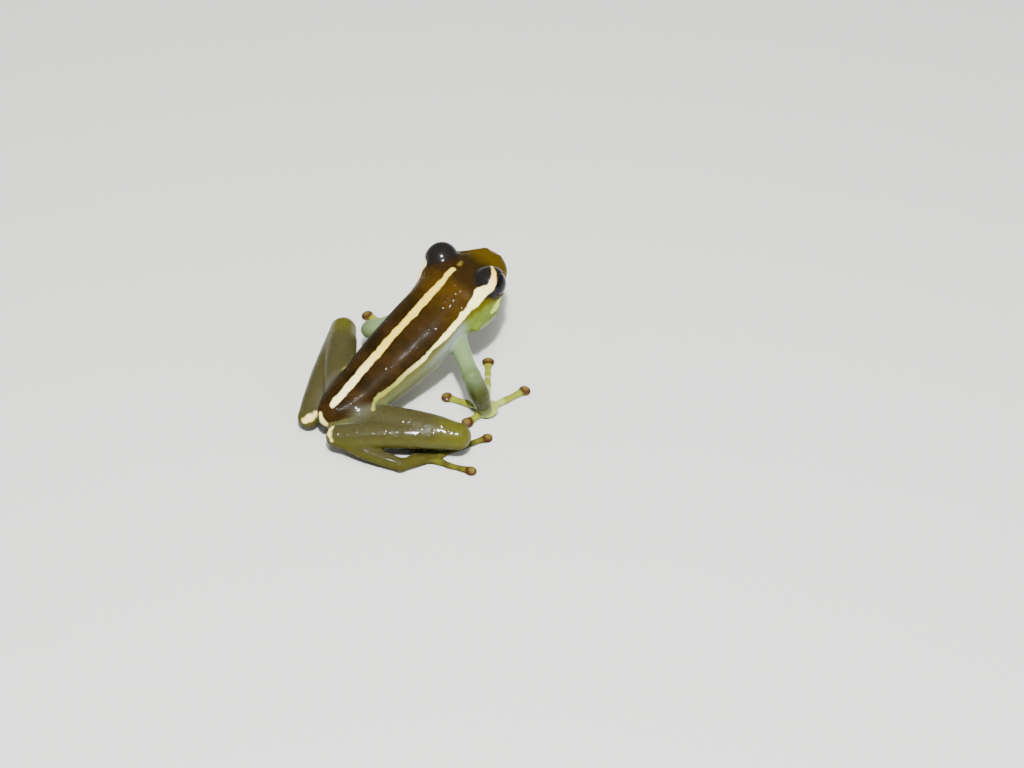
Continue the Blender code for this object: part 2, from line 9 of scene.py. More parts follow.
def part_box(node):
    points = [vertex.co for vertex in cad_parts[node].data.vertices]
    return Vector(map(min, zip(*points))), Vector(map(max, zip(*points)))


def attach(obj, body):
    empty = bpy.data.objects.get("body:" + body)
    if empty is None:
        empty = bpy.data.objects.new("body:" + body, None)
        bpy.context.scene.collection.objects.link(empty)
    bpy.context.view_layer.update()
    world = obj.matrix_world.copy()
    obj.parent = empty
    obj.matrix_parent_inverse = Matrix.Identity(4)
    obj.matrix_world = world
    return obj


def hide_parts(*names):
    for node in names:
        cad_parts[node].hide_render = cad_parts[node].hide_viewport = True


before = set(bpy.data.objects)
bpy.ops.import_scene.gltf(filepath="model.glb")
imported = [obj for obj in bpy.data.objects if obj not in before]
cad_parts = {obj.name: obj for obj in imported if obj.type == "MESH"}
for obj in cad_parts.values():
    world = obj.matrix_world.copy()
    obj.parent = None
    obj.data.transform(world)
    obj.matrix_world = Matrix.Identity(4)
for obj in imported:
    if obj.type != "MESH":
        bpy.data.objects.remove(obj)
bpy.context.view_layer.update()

# The camera looks down on the frog from behind its right side, at the angle of the photo.
# Lengths on the frog are millimetres forward, left and up from the floor under its vent, and
# the left eye of the solid model says where that point lies.
MM = 0.001
SNOUT_VENT = 36.0
HEAD_YAW = math.radians(9.0)
EYE_MIDPOINT = (27.99, 1.25, 15.15)
EYE_SPREAD = 4.25
CAMERA_RIGHT = (-0.6686, -0.7435, 0.0107)
CAMERA_BACK = (-0.518, 0.476, 0.711)
CAMERA_AT = (0.7428, 0.222, 12.05)
LENS = 106.08
SENSOR_WIDTH = 36.0
CLIP_START = 0.01
CLIP_END = 10.0

eye_low, eye_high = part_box("eye_left")
eye_middle = (eye_low + eye_high) / 2 / MM
LEFT_SHIFT = eye_middle.x - (EYE_MIDPOINT[1] + EYE_SPREAD * math.cos(HEAD_YAW))
BACK_SHIFT = eye_middle.y + (EYE_MIDPOINT[0] - EYE_SPREAD * math.sin(HEAD_YAW))

right = Vector(CAMERA_RIGHT).normalized()
back = Vector(CAMERA_BACK).normalized()
above = back.cross(right).normalized()
right = above.cross(back)
place = (right * CAMERA_AT[0] + above * CAMERA_AT[1] + back * CAMERA_AT[2]) * SNOUT_VENT
place += Vector((LEFT_SHIFT, BACK_SHIFT, 0.0))
turn = Matrix((right, above, back)).transposed().to_4x4()
camera_data = bpy.data.cameras.new("camera")
camera_data.lens = LENS
camera_data.sensor_width = SENSOR_WIDTH
camera_data.clip_start = CLIP_START
camera_data.clip_end = CLIP_END
camera = bpy.data.objects.new("camera", camera_data)
camera.matrix_world = Matrix.Translation(place * MM) @ turn
bpy.context.scene.collection.objects.link(camera)
bpy.context.scene.camera = camera

# The skin is one thin, wet, smooth hide over the whole frog. It is drawn as a closed surface
# round a field of distances, so that limbs grow out of the trunk without a seam. The trunk and
# head come first: sections from the rump to the snout, bent a little to the left at the neck.
CELL = 0.1
BODY = (
    (-0.9, 6.1, 2.5, 1.9, 4.4),
    (1.5, 6.8, 1.8, 2.8, 4.5),
    (4.5, 7.8, 1.7, 3.8, 4.9),
    (7.5, 9.3, 2.1, 4.3, 5.7),
    (11.0, 11.2, 2.9, 4.95, 7.0),
    (14.5, 12.8, 3.8, 5.35, 8.3),
    (18.0, 14.3, 5.0, 5.6, 9.7),
    (21.0, 15.5, 6.9, 5.45, 11.0),
    (23.0, 16.2, 8.1, 5.7, 11.6),
    (24.8, 16.6, 8.4, 6.5, 11.9),
    (26.8, 16.6, 9.1, 6.7, 12.0),
    (29.0, 16.1, 9.9, 5.95, 12.2),
    (31.5, 15.3, 10.6, 4.4, 12.4),
    (33.5, 14.7, 11.2, 3.2, 12.6),
    (35.1, 14.3, 11.5, 2.2, 12.7),
)
END_ROUNDING = 2.6
SNOUT_ROUNDING = 2.1
TURN_START = 17.0
TURN_END = 26.0
NECK_BEND = 2.2
SQUARE_START = 21.0
SQUARE_RUN = 5.0
SQUARE_CROWN = 0.2
SQUARE_JAW = 1.2
STATION_MARGIN = 3.0
STATION_COUNT = 700
PROBE = 0.01


def smooth_curve(x, xs, ys):
    """Smooth curve through a table, without overshoot."""
    step = np.diff(xs)
    slope = np.diff(ys) / step
    product = slope[1:] * slope[:-1]
    inner = np.where(product > 0, 2 * product / (slope[1:] + slope[:-1] + 1e-12), 0)
    tangent = np.concatenate(([slope[0]], inner, [slope[-1]]))
    x = np.clip(x, xs[0], xs[-1])
    k = np.clip(np.searchsorted(xs, x, side="right") - 1, 0, len(xs) - 2)
    t = (x - xs[k]) / step[k]
    return ((1 + 2 * t) * (1 - t) ** 2 * ys[k] + t * (1 - t) ** 2 * step[k] * tangent[k]
            + t * t * (3 - 2 * t) * ys[k + 1] + t * t * (t - 1) * step[k] * tangent[k + 1])


def ease(t):
    t = np.clip(t, 0.0, 1.0)
    return t * t * (3 - 2 * t)


body_table = np.array(BODY)
first, last = body_table[0, 0], body_table[-1, 0]
stations = np.linspace(first - STATION_MARGIN, last + STATION_MARGIN, STATION_COUNT)
inside_body = np.clip(stations, first, last)
top_line, belly_line, width_line, middle_line = [
    smooth_curve(inside_body, body_table[:, 0], body_table[:, c]) for c in (1, 2, 3, 4)
]
yaw_line = HEAD_YAW * ease((stations - TURN_START) / (TURN_END - TURN_START))
swing_end = EYE_MIDPOINT[1] + (TURN_END - EYE_MIDPOINT[0]) * math.tan(HEAD_YAW)
neck_share = np.maximum(stations - TURN_START, 0.0) / (TURN_END - TURN_START)
swing_line = np.where(
    stations >= TURN_END,
    EYE_MIDPOINT[1] + (stations - EYE_MIDPOINT[0]) * math.tan(HEAD_YAW),
    swing_end * neck_share ** NECK_BEND,
)


def body_frame(forward, left):
    """Distance along the bent middle line and distance across it."""
    x = forward + 0.0 * left
    for _ in range(4):
        yaw = np.interp(x, stations, yaw_line)
        off = np.interp(x, stations, swing_line)
        x = x + (forward - x) * np.cos(yaw) + (left - off) * np.sin(yaw)
    across = -(forward - x) * np.sin(yaw) + (left - off) * np.cos(yaw)
    return x, across


def half_height(x, rise):
    """How far the back lies above the middle line, or the belly below it."""
    middle = np.interp(x, stations, middle_line)
    back_height = np.interp(x, stations, top_line) - middle
    belly_depth = middle - np.interp(x, stations, belly_line)
    return np.where(rise > 0, back_height, belly_depth)


def body_distance(forward, left, up):
    """Distance to the trunk and head, below zero inside."""
    x, across = body_frame(forward, left)
    width = np.interp(x, stations, width_line)
    rise = up - np.interp(x, stations, middle_line)
    height = half_height(x, rise)
    end = np.maximum(1 - (x - first) / END_ROUNDING, 1 - (last - x) / SNOUT_ROUNDING)
    end = np.maximum(end, 0)
    rounding = np.where(x > TURN_START, SNOUT_ROUNDING, END_ROUNDING)
    corners = np.where(rise > 0, SQUARE_CROWN, SQUARE_JAW)
    square = 2 + ease((x - SQUARE_START) / SQUARE_RUN) * corners
    wide, tall = np.abs(across) / width, np.abs(rise) / height
    reach = (wide ** square + tall ** square + end ** square) ** (1 / square) + 1e-6
    power = square - 1
    grade = np.sqrt(((wide / reach) ** power / width) ** 2 + ((tall / reach) ** power / height) ** 2
                    + ((end / reach) ** power / rounding) ** 2)
    return (reach - 1) / (grade + 1e-3)


def onto_body(point):
    """Slide a point along the slope of the distance until it lies on the trunk or head."""
    point = np.array(point, float)
    steps = np.eye(3) * PROBE
    for _ in range(4):
        here = body_distance(*point)
        slope = np.array([(body_distance(*(point + step)) - here) / PROBE for step in steps])
        point = point - slope * here / (slope @ slope)
    return point, slope / np.linalg.norm(slope)


def body_point(x, angle):
    """Point of the skin at a distance forward and an angle to the left of the back line."""
    middle = np.interp(x, stations, middle_line)
    near = max(min((x - first) / END_ROUNDING, (last - x) / END_ROUNDING, 1.0), 0.0)
    shrink = math.sqrt(1 - (1 - near) ** 2)
    a = math.radians(angle)
    across = np.interp(x, stations, width_line) * math.sin(a) * shrink
    rise = (np.interp(x, stations, top_line) - middle) * math.cos(a) * shrink
    if rise < 0:
        rise = (middle - np.interp(x, stations, belly_line)) * math.cos(a) * shrink
    yaw = np.interp(x, stations, yaw_line)
    off = np.interp(x, stations, swing_line)
    return np.array((x - across * math.sin(yaw), off + across * math.cos(yaw), middle + rise))


def head_point(forward, left, up):
    """Point given in the head's own frame, from the midpoint between the eyes."""
    c, s = math.cos(HEAD_YAW), math.sin(HEAD_YAW)
    return np.array((
        EYE_MIDPOINT[0] + forward * c - left * s,
        EYE_MIDPOINT[1] + forward * s + left * c,
        EYE_MIDPOINT[2] + up,
    ))


def head_vector(forward, left, up):
    v = head_point(forward, left, up) - head_point(0, 0, 0)
    return v / np.linalg.norm(v)


# The field holds, for every small cell round the frog, the distance to its surface. A shape is
# a measure of distance and the box that it fills; it is joined to the field or carved from it,
# with a soft change where the two meet.
FIELD_MARGIN = 1.0
FIELD_FAR = 3.0
TRUNK_BLEND = 0.5
boxes = [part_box(node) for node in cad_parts]
solid_low = np.min([box[0] for box in boxes], axis=0) / MM
solid_high = np.max([box[1] for box in boxes], axis=0) / MM
low_corner = np.array((BACK_SHIFT - solid_high[1], solid_low[0] - LEFT_SHIFT, 0.0))
high_corner = np.array((BACK_SHIFT - solid_low[1], solid_high[0] - LEFT_SHIFT, solid_high[2]))
low_corner = low_corner - FIELD_MARGIN
high_corner = high_corner + FIELD_MARGIN
counts = np.ceil((high_corner - low_corner) / CELL).astype(int) + 1
axes = [low_corner[a] + CELL * np.arange(counts[a]) for a in range(3)]
field = np.full(counts, FIELD_FAR, np.float32)


def soft_least(a, b, blend):
    overlap = np.maximum(blend - np.abs(a - b), 0.0)
    return np.minimum(a, b) - overlap * overlap / (4 * blend)


def window(low, high, margin):
    """The part of the field inside a box, and its coordinates."""
    slices = []
    for a in range(3):
        start = int((low[a] - margin - low_corner[a]) / CELL)
        start = min(max(start, 0), counts[a] - 1)
        stop = int((high[a] + margin - low_corner[a]) / CELL) + 2
        stop = min(max(stop, start + 1), counts[a])
        slices.append(slice(start, stop))
    f = axes[0][slices[0]][:, None, None]
    l = axes[1][slices[1]][None, :, None]
    u = axes[2][slices[2]][None, None, :]
    return tuple(slices), f, l, u


def join(shape, blend):
    measure, low, high = shape
    part, f, l, u = window(low, high, blend + 3 * CELL)
    field[part] = soft_least(field[part], measure(f, l, u), blend)


def carve(shape, blend):
    measure, low, high = shape
    part, f, l, u = window(low, high, blend + 3 * CELL)
    field[part] = -soft_least(-field[part], measure(f, l, u), blend)


def rods(points, radii, flat=1.0):
    """Round rods end to end through the points, with a radius at each; flat presses them down."""
    points = [np.asarray(p, float) for p in points]
    reach = max(radii)

    def measure(f, l, u):
        best = None
        for a, b, ra, rb in zip(points, points[1:], radii, radii[1:]):
            v = b - a
            t = ((f - a[0]) * v[0] + (l - a[1]) * v[1] + (u - a[2]) * v[2]) / (v @ v)
            t = np.clip(t, 0, 1)
            gap = np.sqrt((f - a[0] - t * v[0]) ** 2 + (l - a[1] - t * v[1]) ** 2
                          + ((u - a[2] - t * v[2]) * flat) ** 2) - (ra + (rb - ra) * t)
            best = gap if best is None else np.minimum(best, gap)
        return best

    return measure, np.min(points, axis=0) - reach, np.max(points, axis=0) + reach


def pad(centre, radii, ahead=(1.0, 0.0, 0.0)):
    """Ellipsoid with its first axis ahead and its last axis as near upright as it can be."""
    centre = np.asarray(centre, float)
    one = np.asarray(ahead, float) / np.linalg.norm(ahead)
    two = np.cross((0.0, 0.0, 1.0), one)
    two = two / np.linalg.norm(two)
    three = np.cross(one, two)

    def measure(f, l, u):
        f, l, u = f - centre[0], l - centre[1], u - centre[2]
        q = g = 0.0
        for axis, r in zip((one, two, three), radii):
            along = (f * axis[0] + l * axis[1] + u * axis[2]) / r
            q = q + along ** 2
            g = g + (along / r) ** 2
        q = np.sqrt(q) + 1e-6
        return (q - 1) * q / (np.sqrt(g) + 1e-6)

    return measure, centre - max(radii), centre + max(radii)


def together(shapes, blend):
    """Several shapes as one, with soft joints between them."""
    def measure(f, l, u):
        best = shapes[0][0](f, l, u)
        for shape in shapes[1:]:
            best = soft_least(best, shape[0](f, l, u), blend)
        return best

    low = np.min([shape[1] for shape in shapes], axis=0)
    high = np.max([shape[2] for shape in shapes], axis=0)
    return measure, low, high


def curve_point(points, t):
    """Point on a smooth curve through the points, t from 0 to 1."""
    spans = len(points) - 1
    k = min(int(t * spans), spans - 1)
    u = t * spans - k
    p1, p2 = points[k], points[k + 1]
    p0 = points[k - 1] if k > 0 else 2 * p1 - p2
    p3 = points[k + 2] if k + 2 <= spans else 2 * p2 - p1
    return 0.5 * (2 * p1 + (p2 - p0) * u + (2 * p0 - 5 * p1 + 4 * p2 - p3) * u * u
                  + (3 * p1 - p0 - 3 * p2 + p3) * u ** 3)


trunk_low = np.array((first - 1, -8, 0))
trunk_high = np.array((last + 1, 9, 18))
join((body_distance, trunk_low, trunk_high), TRUNK_BLEND)

# The head carries the eyes in two domes of thin lid, with the canthus running from each dome to
# the nostril, an eardrum behind the eye under a fold of skin, and the line of the mouth between
# the lips. All of it is the same hide, raised from the head or pressed into it.
EYE_RADIUS = 2.2
LID_RADIUS = 2.48
LID_BLEND = 0.7
EYE_SHIFT = {"left": (-0.4, 0.1), "right": (0.1, 0.1)}
EYE_LOOK = (0.40, 0.90, 0.14)
MOUTH_CORNER = 24.9
MOUTH = np.array(((24.9, 11.3), (27.0, 11.8), (30.0, 12.3), (33.0, 12.6), (35.2, 12.7)))
GROOVE_RADIUS = 0.19
GROOVE_START = 1.2
GROOVE_BLEND = 0.12
LIP_STEP = 0.14
NOSTRIL = (5.9, 1.28, -0.75)
NOSTRIL_BUMP = (0.38, 0.32, 0.28)
NOSTRIL_BLEND = 0.7
NOSTRIL_PIT = (0.22, 0.15, 0.2)
NOSTRIL_DEPTH = 0.14
PIT_BLEND = 0.1
BROW_REACH = 1.7
BROW_DROP = 0.3
RIDGE_SHARES = (0.3, 0.6, 0.85)
RIDGE_LIFT = 0.5
RIDGE_SINK = 0.34
RIDGE_RADII = (0.48, 0.36, 0.34, 0.36)
RIDGE_BLEND = 0.6
FOLD_REACH = 1.95
FOLD = ((25.6, 64.0), (24.2, 66.0), (23.2, 76.0), (22.4, 92.0))
FOLD_SINK = 0.24
FOLD_RADII = (0.34, 0.27, 0.22, 0.2, 0.16)
FOLD_BLEND = 0.7
EARDRUM = (25.3, 78.0)
EARDRUM_RADIUS = 0.85
EARDRUM_STEPS = 24
EARDRUM_SINK = 0.05
EARDRUM_RIM = 0.09
EARDRUM_BLEND = 0.25
JAW_CORNER = (23.6, 103.0)
JAW_PAD = (1.15, 0.7, 0.85)
JAW_SINK = 0.3
JAW_BLEND = 0.45
HEAD_LOW = np.array((23.0, -7.0, 8.0))
HEAD_HIGH = np.array((37.0, 9.0, 18.0))


def lip_height(x):
    return smooth_curve(x, MOUTH[:, 0], MOUTH[:, 1])


def mouth_groove(f, l, u):
    """Narrow tube that follows the lips on the skin."""
    x, _ = body_frame(f, l)
    size = GROOVE_RADIUS * ease((x - MOUTH_CORNER) / GROOVE_START)
    off_skin = body_distance(f, l, u)
    return np.sqrt(((u - lip_height(x)) * 1.3) ** 2 + (off_skin * 0.7) ** 2) - size


def lower_jaw(f, l, u):
    """How far the lower lip sits inside the upper one."""
    x, _ = body_frame(f, l)
    drop = lip_height(x) - u
    step = LIP_STEP * ease((x - MOUTH_CORNER) / 2.0)
    return step * ease((drop + 0.1) / 0.25) * ease((2.2 - drop) / 1.6)


part, f, l, u = window(HEAD_LOW, HEAD_HIGH, 0.0)
field[part] += lower_jaw(f, l, u)

eyes = {}
for side, label in ((1, "left"), (-1, "right")):
    shift = EYE_SHIFT[label]
    centre = head_point(shift[0], side * (EYE_SPREAD + shift[1]), 0.0)
    look = head_vector(EYE_LOOK[0], side * EYE_LOOK[1], EYE_LOOK[2])
    ahead = head_vector(1.0, 0.0, 0.0)
    ahead = ahead - look * (ahead @ look)
    ahead = ahead / np.linalg.norm(ahead)
    lift = np.cross(look, ahead) if side < 0 else np.cross(ahead, look)
    eyes[label] = (centre, look, ahead, lift)
    join(pad(centre, (LID_RADIUS,) * 3), LID_BLEND)
    # Canthus and bump of the nostril
    nose, outward = onto_body(head_point(NOSTRIL[0], side * NOSTRIL[1], NOSTRIL[2]))
    brow = centre + head_vector(1.0, -side * 0.1, 0.0) * BROW_REACH
    brow = brow + np.array((0, 0, -BROW_DROP))
    ridge = [brow]
    for share in RIDGE_SHARES:
        over = brow + (nose - brow) * share + np.array((0, 0, RIDGE_LIFT))
        along, slope = onto_body(over)
        ridge.append(along - slope * RIDGE_SINK)
    join(rods(ridge, RIDGE_RADII), RIDGE_BLEND)
    join(pad(nose - outward * NOSTRIL_DEPTH, NOSTRIL_BUMP), NOSTRIL_BLEND)
    # Brow over the back of the eye and fold over the eardrum, down to the shoulder
    fold = [centre + head_vector(-1.0, side * 0.35, -0.1) * FOLD_REACH]
    for x, angle in FOLD:
        p, slope = onto_body(body_point(x, side * angle))
        fold.append(p - slope * FOLD_SINK)
    join(rods(fold, FOLD_RADII), FOLD_BLEND)
    # Eardrum: a low ring round a shallow dish
    drum, outward_drum = onto_body(body_point(EARDRUM[0], side * EARDRUM[1]))
    ring_one = np.cross(outward_drum, (0, 0, 1.0))
    ring_one = ring_one / np.linalg.norm(ring_one)
    ring_two = np.cross(outward_drum, ring_one)
    ring = []
    for k in range(EARDRUM_STEPS + 1):
        a = 2 * math.pi * k / EARDRUM_STEPS
        around = ring_one * math.cos(a) + ring_two * math.sin(a)
        p, slope = onto_body(drum + EARDRUM_RADIUS * around)
        ring.append(p - slope * EARDRUM_SINK)
    join(rods(ring, (EARDRUM_RIM,) * len(ring)), EARDRUM_BLEND)
    # Corner of the jaw, which juts a little over the neck
    corner, slope = onto_body(body_point(JAW_CORNER[0], side * JAW_CORNER[1]))
    join(pad(corner - slope * JAW_SINK, JAW_PAD, ahead), JAW_BLEND)
    # Nostril, a small pit that looks out and back
    carve(pad(nose + outward * NOSTRIL_DEPTH, NOSTRIL_PIT), PIT_BLEND)

part, f, l, u = window(HEAD_LOW, HEAD_HIGH, 0.0)
field[part] = -soft_least(-field[part], mouth_groove(f, l, u), GROOVE_BLEND)

# Each leg is a thigh and a shank folded beside each other, a slim tarsus folded back under
# them, and a long foot. The muscles of the thigh and the calf swell near the knee, and short
# webs of thin hide join the toes.
HIP = {"right": (3.4, -1.9, 4.3), "left": (3.4, 1.9, 4.3)}
KNEE = {"right": (12.1, -14.9, 4.05), "left": (13.8, 12.6, 3.8)}
HEEL = {"right": (-0.41, -3.11, 3.42), "left": (-0.4, 3.3, 2.4)}
TARSAL = {"right": (4.1, -11.7, 1.2), "left": (6.6, 7.5, 1.15)}
THIGH_RADII = (1.7, 2.0, 2.25, 2.3, 1.9)
THIGH_LIFT = 0.35
SHANK_RADII = (1.85, 1.96, 1.98, 1.86, 1.55)
SHANK_LIFT = 0.3
TARSUS_RADII = (1.2, 1.15, 1.1, 1.05, 0.95)
TARSUS_BOW = 0.7
TOE_TIPS = {
    "right": ((7.8, -7.2), (11.1, -8.4), (14.4, -10.9), (18.1, -15.6), (11.7, -19.4)),
    "left": ((11.2, 5.2), (14.2, 7.0), (17.2, 9.7), (16.3, 14.3), (12.4, 14.2)),
}
FOOT_SHARE = 0.33
TOE_STEP = 0.55
TOE_RADIUS = 0.43
TOE_DISC = 0.78
DIGIT_HEIGHT = 0.42
DIGIT_ARCH = 0.1
DISC_HALF_HEIGHT = 0.48
WEB_REACH = (0.66, 0.66, 0.64, 0.6, 0.66)
WEB_HOLLOW = 0.26
WEB_HALF = 0.17
METATARSAL_RADIUS = 0.9
METATARSAL_SHARE = 0.24
LONGEST_TOE = 3
TOE_STAGGER = 0.03
TOE_JOINTS = (0.5, 0.72)
LONG_TOE_JOINTS = (0.45, 0.62, 0.8)
JOINT_SWELL = 0.13
JOINT_LENGTH = 0.045
DIGIT_STEPS = 22
SHAFT_END = 1.1
DISC_MIDDLE = 0.82
DISC_LENGTH = 0.84
DISC_NECK = 1.7
DISC_NECK_LENGTH = 0.7
DISC_BLEND = 0.25
WEB_START = 0.3
WEB_END = 0.97
WEB_RUNGS = 26
LIMB_STEPS = 12
THIGH_BLEND = 0.9
SHANK_BLEND = 0.35
TARSUS_BLEND = 0.6
TOE_BLEND = 0.22
FOOT_BLEND = 0.3
LIMB_BLEND = 0.2


def tapered(points, radii, steps):
    """Limb along a smooth curve, its radius running smoothly through the given ones."""
    points = [np.asarray(p, float) for p in points]
    shares = np.linspace(0, 1, steps)
    sizes = smooth_curve(shares, np.linspace(0, 1, len(radii)), np.array(radii))
    return rods([curve_point(points, t) for t in shares], tuple(sizes))


def digit(path, radius, disc, joints):
    """Finger or toe with swollen joints and a flat round disc at its tip."""
    length = np.linalg.norm(path[-1] - path[0])
    shares = np.linspace(0, 1.0 - SHAFT_END / length, DIGIT_STEPS)
    sizes = []
    for t in shares:
        swell = sum(JOINT_SWELL * math.exp(-((t - j) / JOINT_LENGTH) ** 2) for j in joints)
        sizes.append(radius * (1.08 - 0.2 * t + swell))
    shaft = rods([curve_point(path, t) for t in shares], tuple(sizes), 1.06)
    run = path[-1] - curve_point(path, 0.9)
    run[2] = 0.0
    disc_middle = curve_point(path, 1.0 - DISC_MIDDLE / length)
    cap = pad(disc_middle, (DISC_LENGTH, disc, DISC_HALF_HEIGHT), run)
    neck_middle = curve_point(path, 1.0 - DISC_NECK / length)
    neck = pad(neck_middle, (DISC_NECK_LENGTH, radius * 1.05, radius), run)
    return together([shaft, neck, cap], DISC_BLEND)


def toe_path(tarsal, tips, number):
    """A toe runs along the foot beside the longest one, then turns to its own tip."""
    longest = np.array((*tips[LONGEST_TOE], DIGIT_HEIGHT))
    end = np.array((*tips[number], DIGIT_HEIGHT))
    along = longest - tarsal
    inward = np.array((*tips[0], DIGIT_HEIGHT)) - tarsal
    inward = inward / np.linalg.norm(inward)
    sideways = inward - along * (inward @ along) / (along @ along)
    sideways = sideways / np.linalg.norm(sideways)
    share = FOOT_SHARE - TOE_STAGGER * abs(number - LONGEST_TOE)
    middle = tarsal + along * share + sideways * TOE_STEP * (LONGEST_TOE - number)
    middle[2] = DIGIT_HEIGHT + DIGIT_ARCH
    return [tarsal, middle, (middle + end) / 2, end]


limbs = {}
digits = []
for side in ("right", "left"):
    hip, knee, heel, tarsal = [np.array(t[side]) for t in (HIP, KNEE, HEEL, TARSAL)]
    thigh_middle = (hip + knee) / 2 + np.array((0, 0, THIGH_LIFT))
    thigh = tapered([hip, thigh_middle, knee], THIGH_RADII, LIMB_STEPS)
    shank_middle = (knee + heel) / 2 + np.array((0, 0, SHANK_LIFT))
    shank = tapered([knee, shank_middle, heel], SHANK_RADII, LIMB_STEPS)
    bow = (heel + tarsal) / 2 - knee
    bow = bow / np.linalg.norm(bow) * TARSUS_BOW
    tarsus = tapered([heel, (heel + tarsal) / 2 + bow, tarsal], TARSUS_RADII, LIMB_STEPS)
    join(thigh, THIGH_BLEND)
    join(shank, SHANK_BLEND)
    join(tarsus, TARSUS_BLEND)
    tips = TOE_TIPS[side]
    outer = np.array((*tips[LONGEST_TOE], DIGIT_HEIGHT))
    sole = tarsal + (outer - tarsal) * METATARSAL_SHARE
    sole[2] = METATARSAL_RADIUS * 0.7
    sole_radii = (TARSUS_RADII[-1], METATARSAL_RADIUS, METATARSAL_RADIUS * 0.9)
    foot = [rods([tarsal, (tarsal + sole) / 2, sole], sole_radii, 1.1)]
    paths = [toe_path(tarsal, tips, k) for k in range(5)]
    for number, path in enumerate(paths):
        joints = TOE_JOINTS if number < LONGEST_TOE else LONG_TOE_JOINTS
        foot.append(digit(path, TOE_RADIUS, TOE_DISC, joints))
        digits.append(path)
    for number in range(4):
        for step in np.linspace(WEB_START, WEB_END, WEB_RUNGS):
            rung = []
            for across in np.linspace(0, 1, 5):
                hollow = 1.0 - WEB_HOLLOW * math.sin(math.pi * across)
                a = curve_point(paths[number], WEB_REACH[number] * step * hollow)
                b = curve_point(paths[number + 1], WEB_REACH[number + 1] * step * hollow)
                rung.append(a + (b - a) * across)
            foot.append(rods(rung, (WEB_HALF,) * 5))
    foot = together(foot, TOE_BLEND)
    join(foot, FOOT_BLEND)
    limbs["leg_" + side] = together([thigh, shank, tarsus], LIMB_BLEND)
    limbs["foot_" + side] = foot

# Each arm hangs from the shoulder to a slim wrist, with the forearm a little swollen, and ends
# in a flat palm with four fingers spread on the floor, each with a round disc at its tip.
SHOULDER = {"right": (21.0, -4.8, 9.6), "left": (19.8, 4.1, 9.0)}
ELBOW = {"right": (18.4, -10.8, 8.8), "left": (15.4, 8.2, 6.2)}
WRIST = {"right": (19.9, -11.9, 2.2), "left": (20.5, 9.6, 2.1)}
PALM = {"right": (20.9, -11.3, 0.93), "left": (21.9, 9.1, 0.93)}
FINGER_TIPS = {
    "right": ((16.5, -11.2), (18.1, -4.7), (28.2, -3.4), (28.5, -11.9)),
    "left": ((18.8, 4.7), (26.3, 4.1), (29.8, 11.7), (20.6, 16.1)),
}
UPPER_ARM_RADII = (1.5, 1.3, 1.2, 1.3)
FOREARM_RADII = (1.3, 1.5, 1.55, 1.3, 1.05)
PALM_SIZE = (1.75, 1.65, 0.95)
PALM_TILT = 1.2
WRIST_RADII = (0.88, 0.85)
FINGER_RADIUS = 0.48
FINGER_DISC = 0.93
FINGER_BEND = 0.55
FINGER_JOINTS = (0.42, 0.66)
ARM_STEPS = 9
UPPER_ARM_BLEND = 0.55
FOREARM_BLEND = 0.3
HAND_BLEND = 0.35

for side in ("right", "left"):
    shoulder, elbow, wrist, palm = [np.array(t[side]) for t in (SHOULDER, ELBOW, WRIST, PALM)]
    upper = tapered([shoulder, (shoulder + elbow) / 2, elbow], UPPER_ARM_RADII, ARM_STEPS)
    forearm = tapered([elbow, (elbow + wrist) / 2, wrist], FOREARM_RADII, ARM_STEPS)
    join(upper, UPPER_ARM_BLEND)
    join(forearm, FOREARM_BLEND)
    hand = [pad(palm, PALM_SIZE, palm - wrist + np.array((0, 0, PALM_TILT)))]
    hand.append(rods([wrist, wrist * 0.4 + palm * 0.6], WRIST_RADII))
    for tip in FINGER_TIPS[side]:
        end = np.array((*tip, DIGIT_HEIGHT))
        middle = palm + (end - palm) * FINGER_BEND
        middle[2] = DIGIT_HEIGHT + DIGIT_ARCH
        path = [palm, middle, end]
        hand.append(digit(path, FINGER_RADIUS, FINGER_DISC, FINGER_JOINTS))
        digits.append(path)
    hand = together(hand, HAND_BLEND)
    join(hand, HAND_BLEND)
    limbs["arm_" + side] = together([upper, forearm], LIMB_BLEND)
    limbs["hand_" + side] = hand

# The lids open on the eyes last, so that nothing that was joined later fills them. Each opening
# is an oval through the thin hide, a little wider outward, with a soft rim.
OPENING = (1.9, 1.6)
OPENING_FLARE = 0.1
OPENING_FLOOR = 0.6
OPENING_REACH = 3.0
RIM_HEIGHT = 1.4
RIM_BLEND = 0.12

for centre, look, ahead, lift in eyes.values():
    def opening(f, l, u):
        """Tapered oval hole through the lid."""
        f, l, u = f - centre[0], l - centre[1], u - centre[2]
        out = f * look[0] + l * look[1] + u * look[2]
        wide = (f * ahead[0] + l * ahead[1] + u * ahead[2]) / OPENING[0]
        tall = (f * lift[0] + l * lift[1] + u * lift[2]) / OPENING[1]
        flare = OPENING_FLARE * (out - RIM_HEIGHT)
        hole = (np.sqrt(wide ** 2 + tall ** 2) - 1.0 - flare) * OPENING[1]
        return np.maximum(hole, OPENING_FLOOR - out)

    carve((opening, centre - OPENING_REACH, centre + OPENING_REACH), RIM_BLEND)

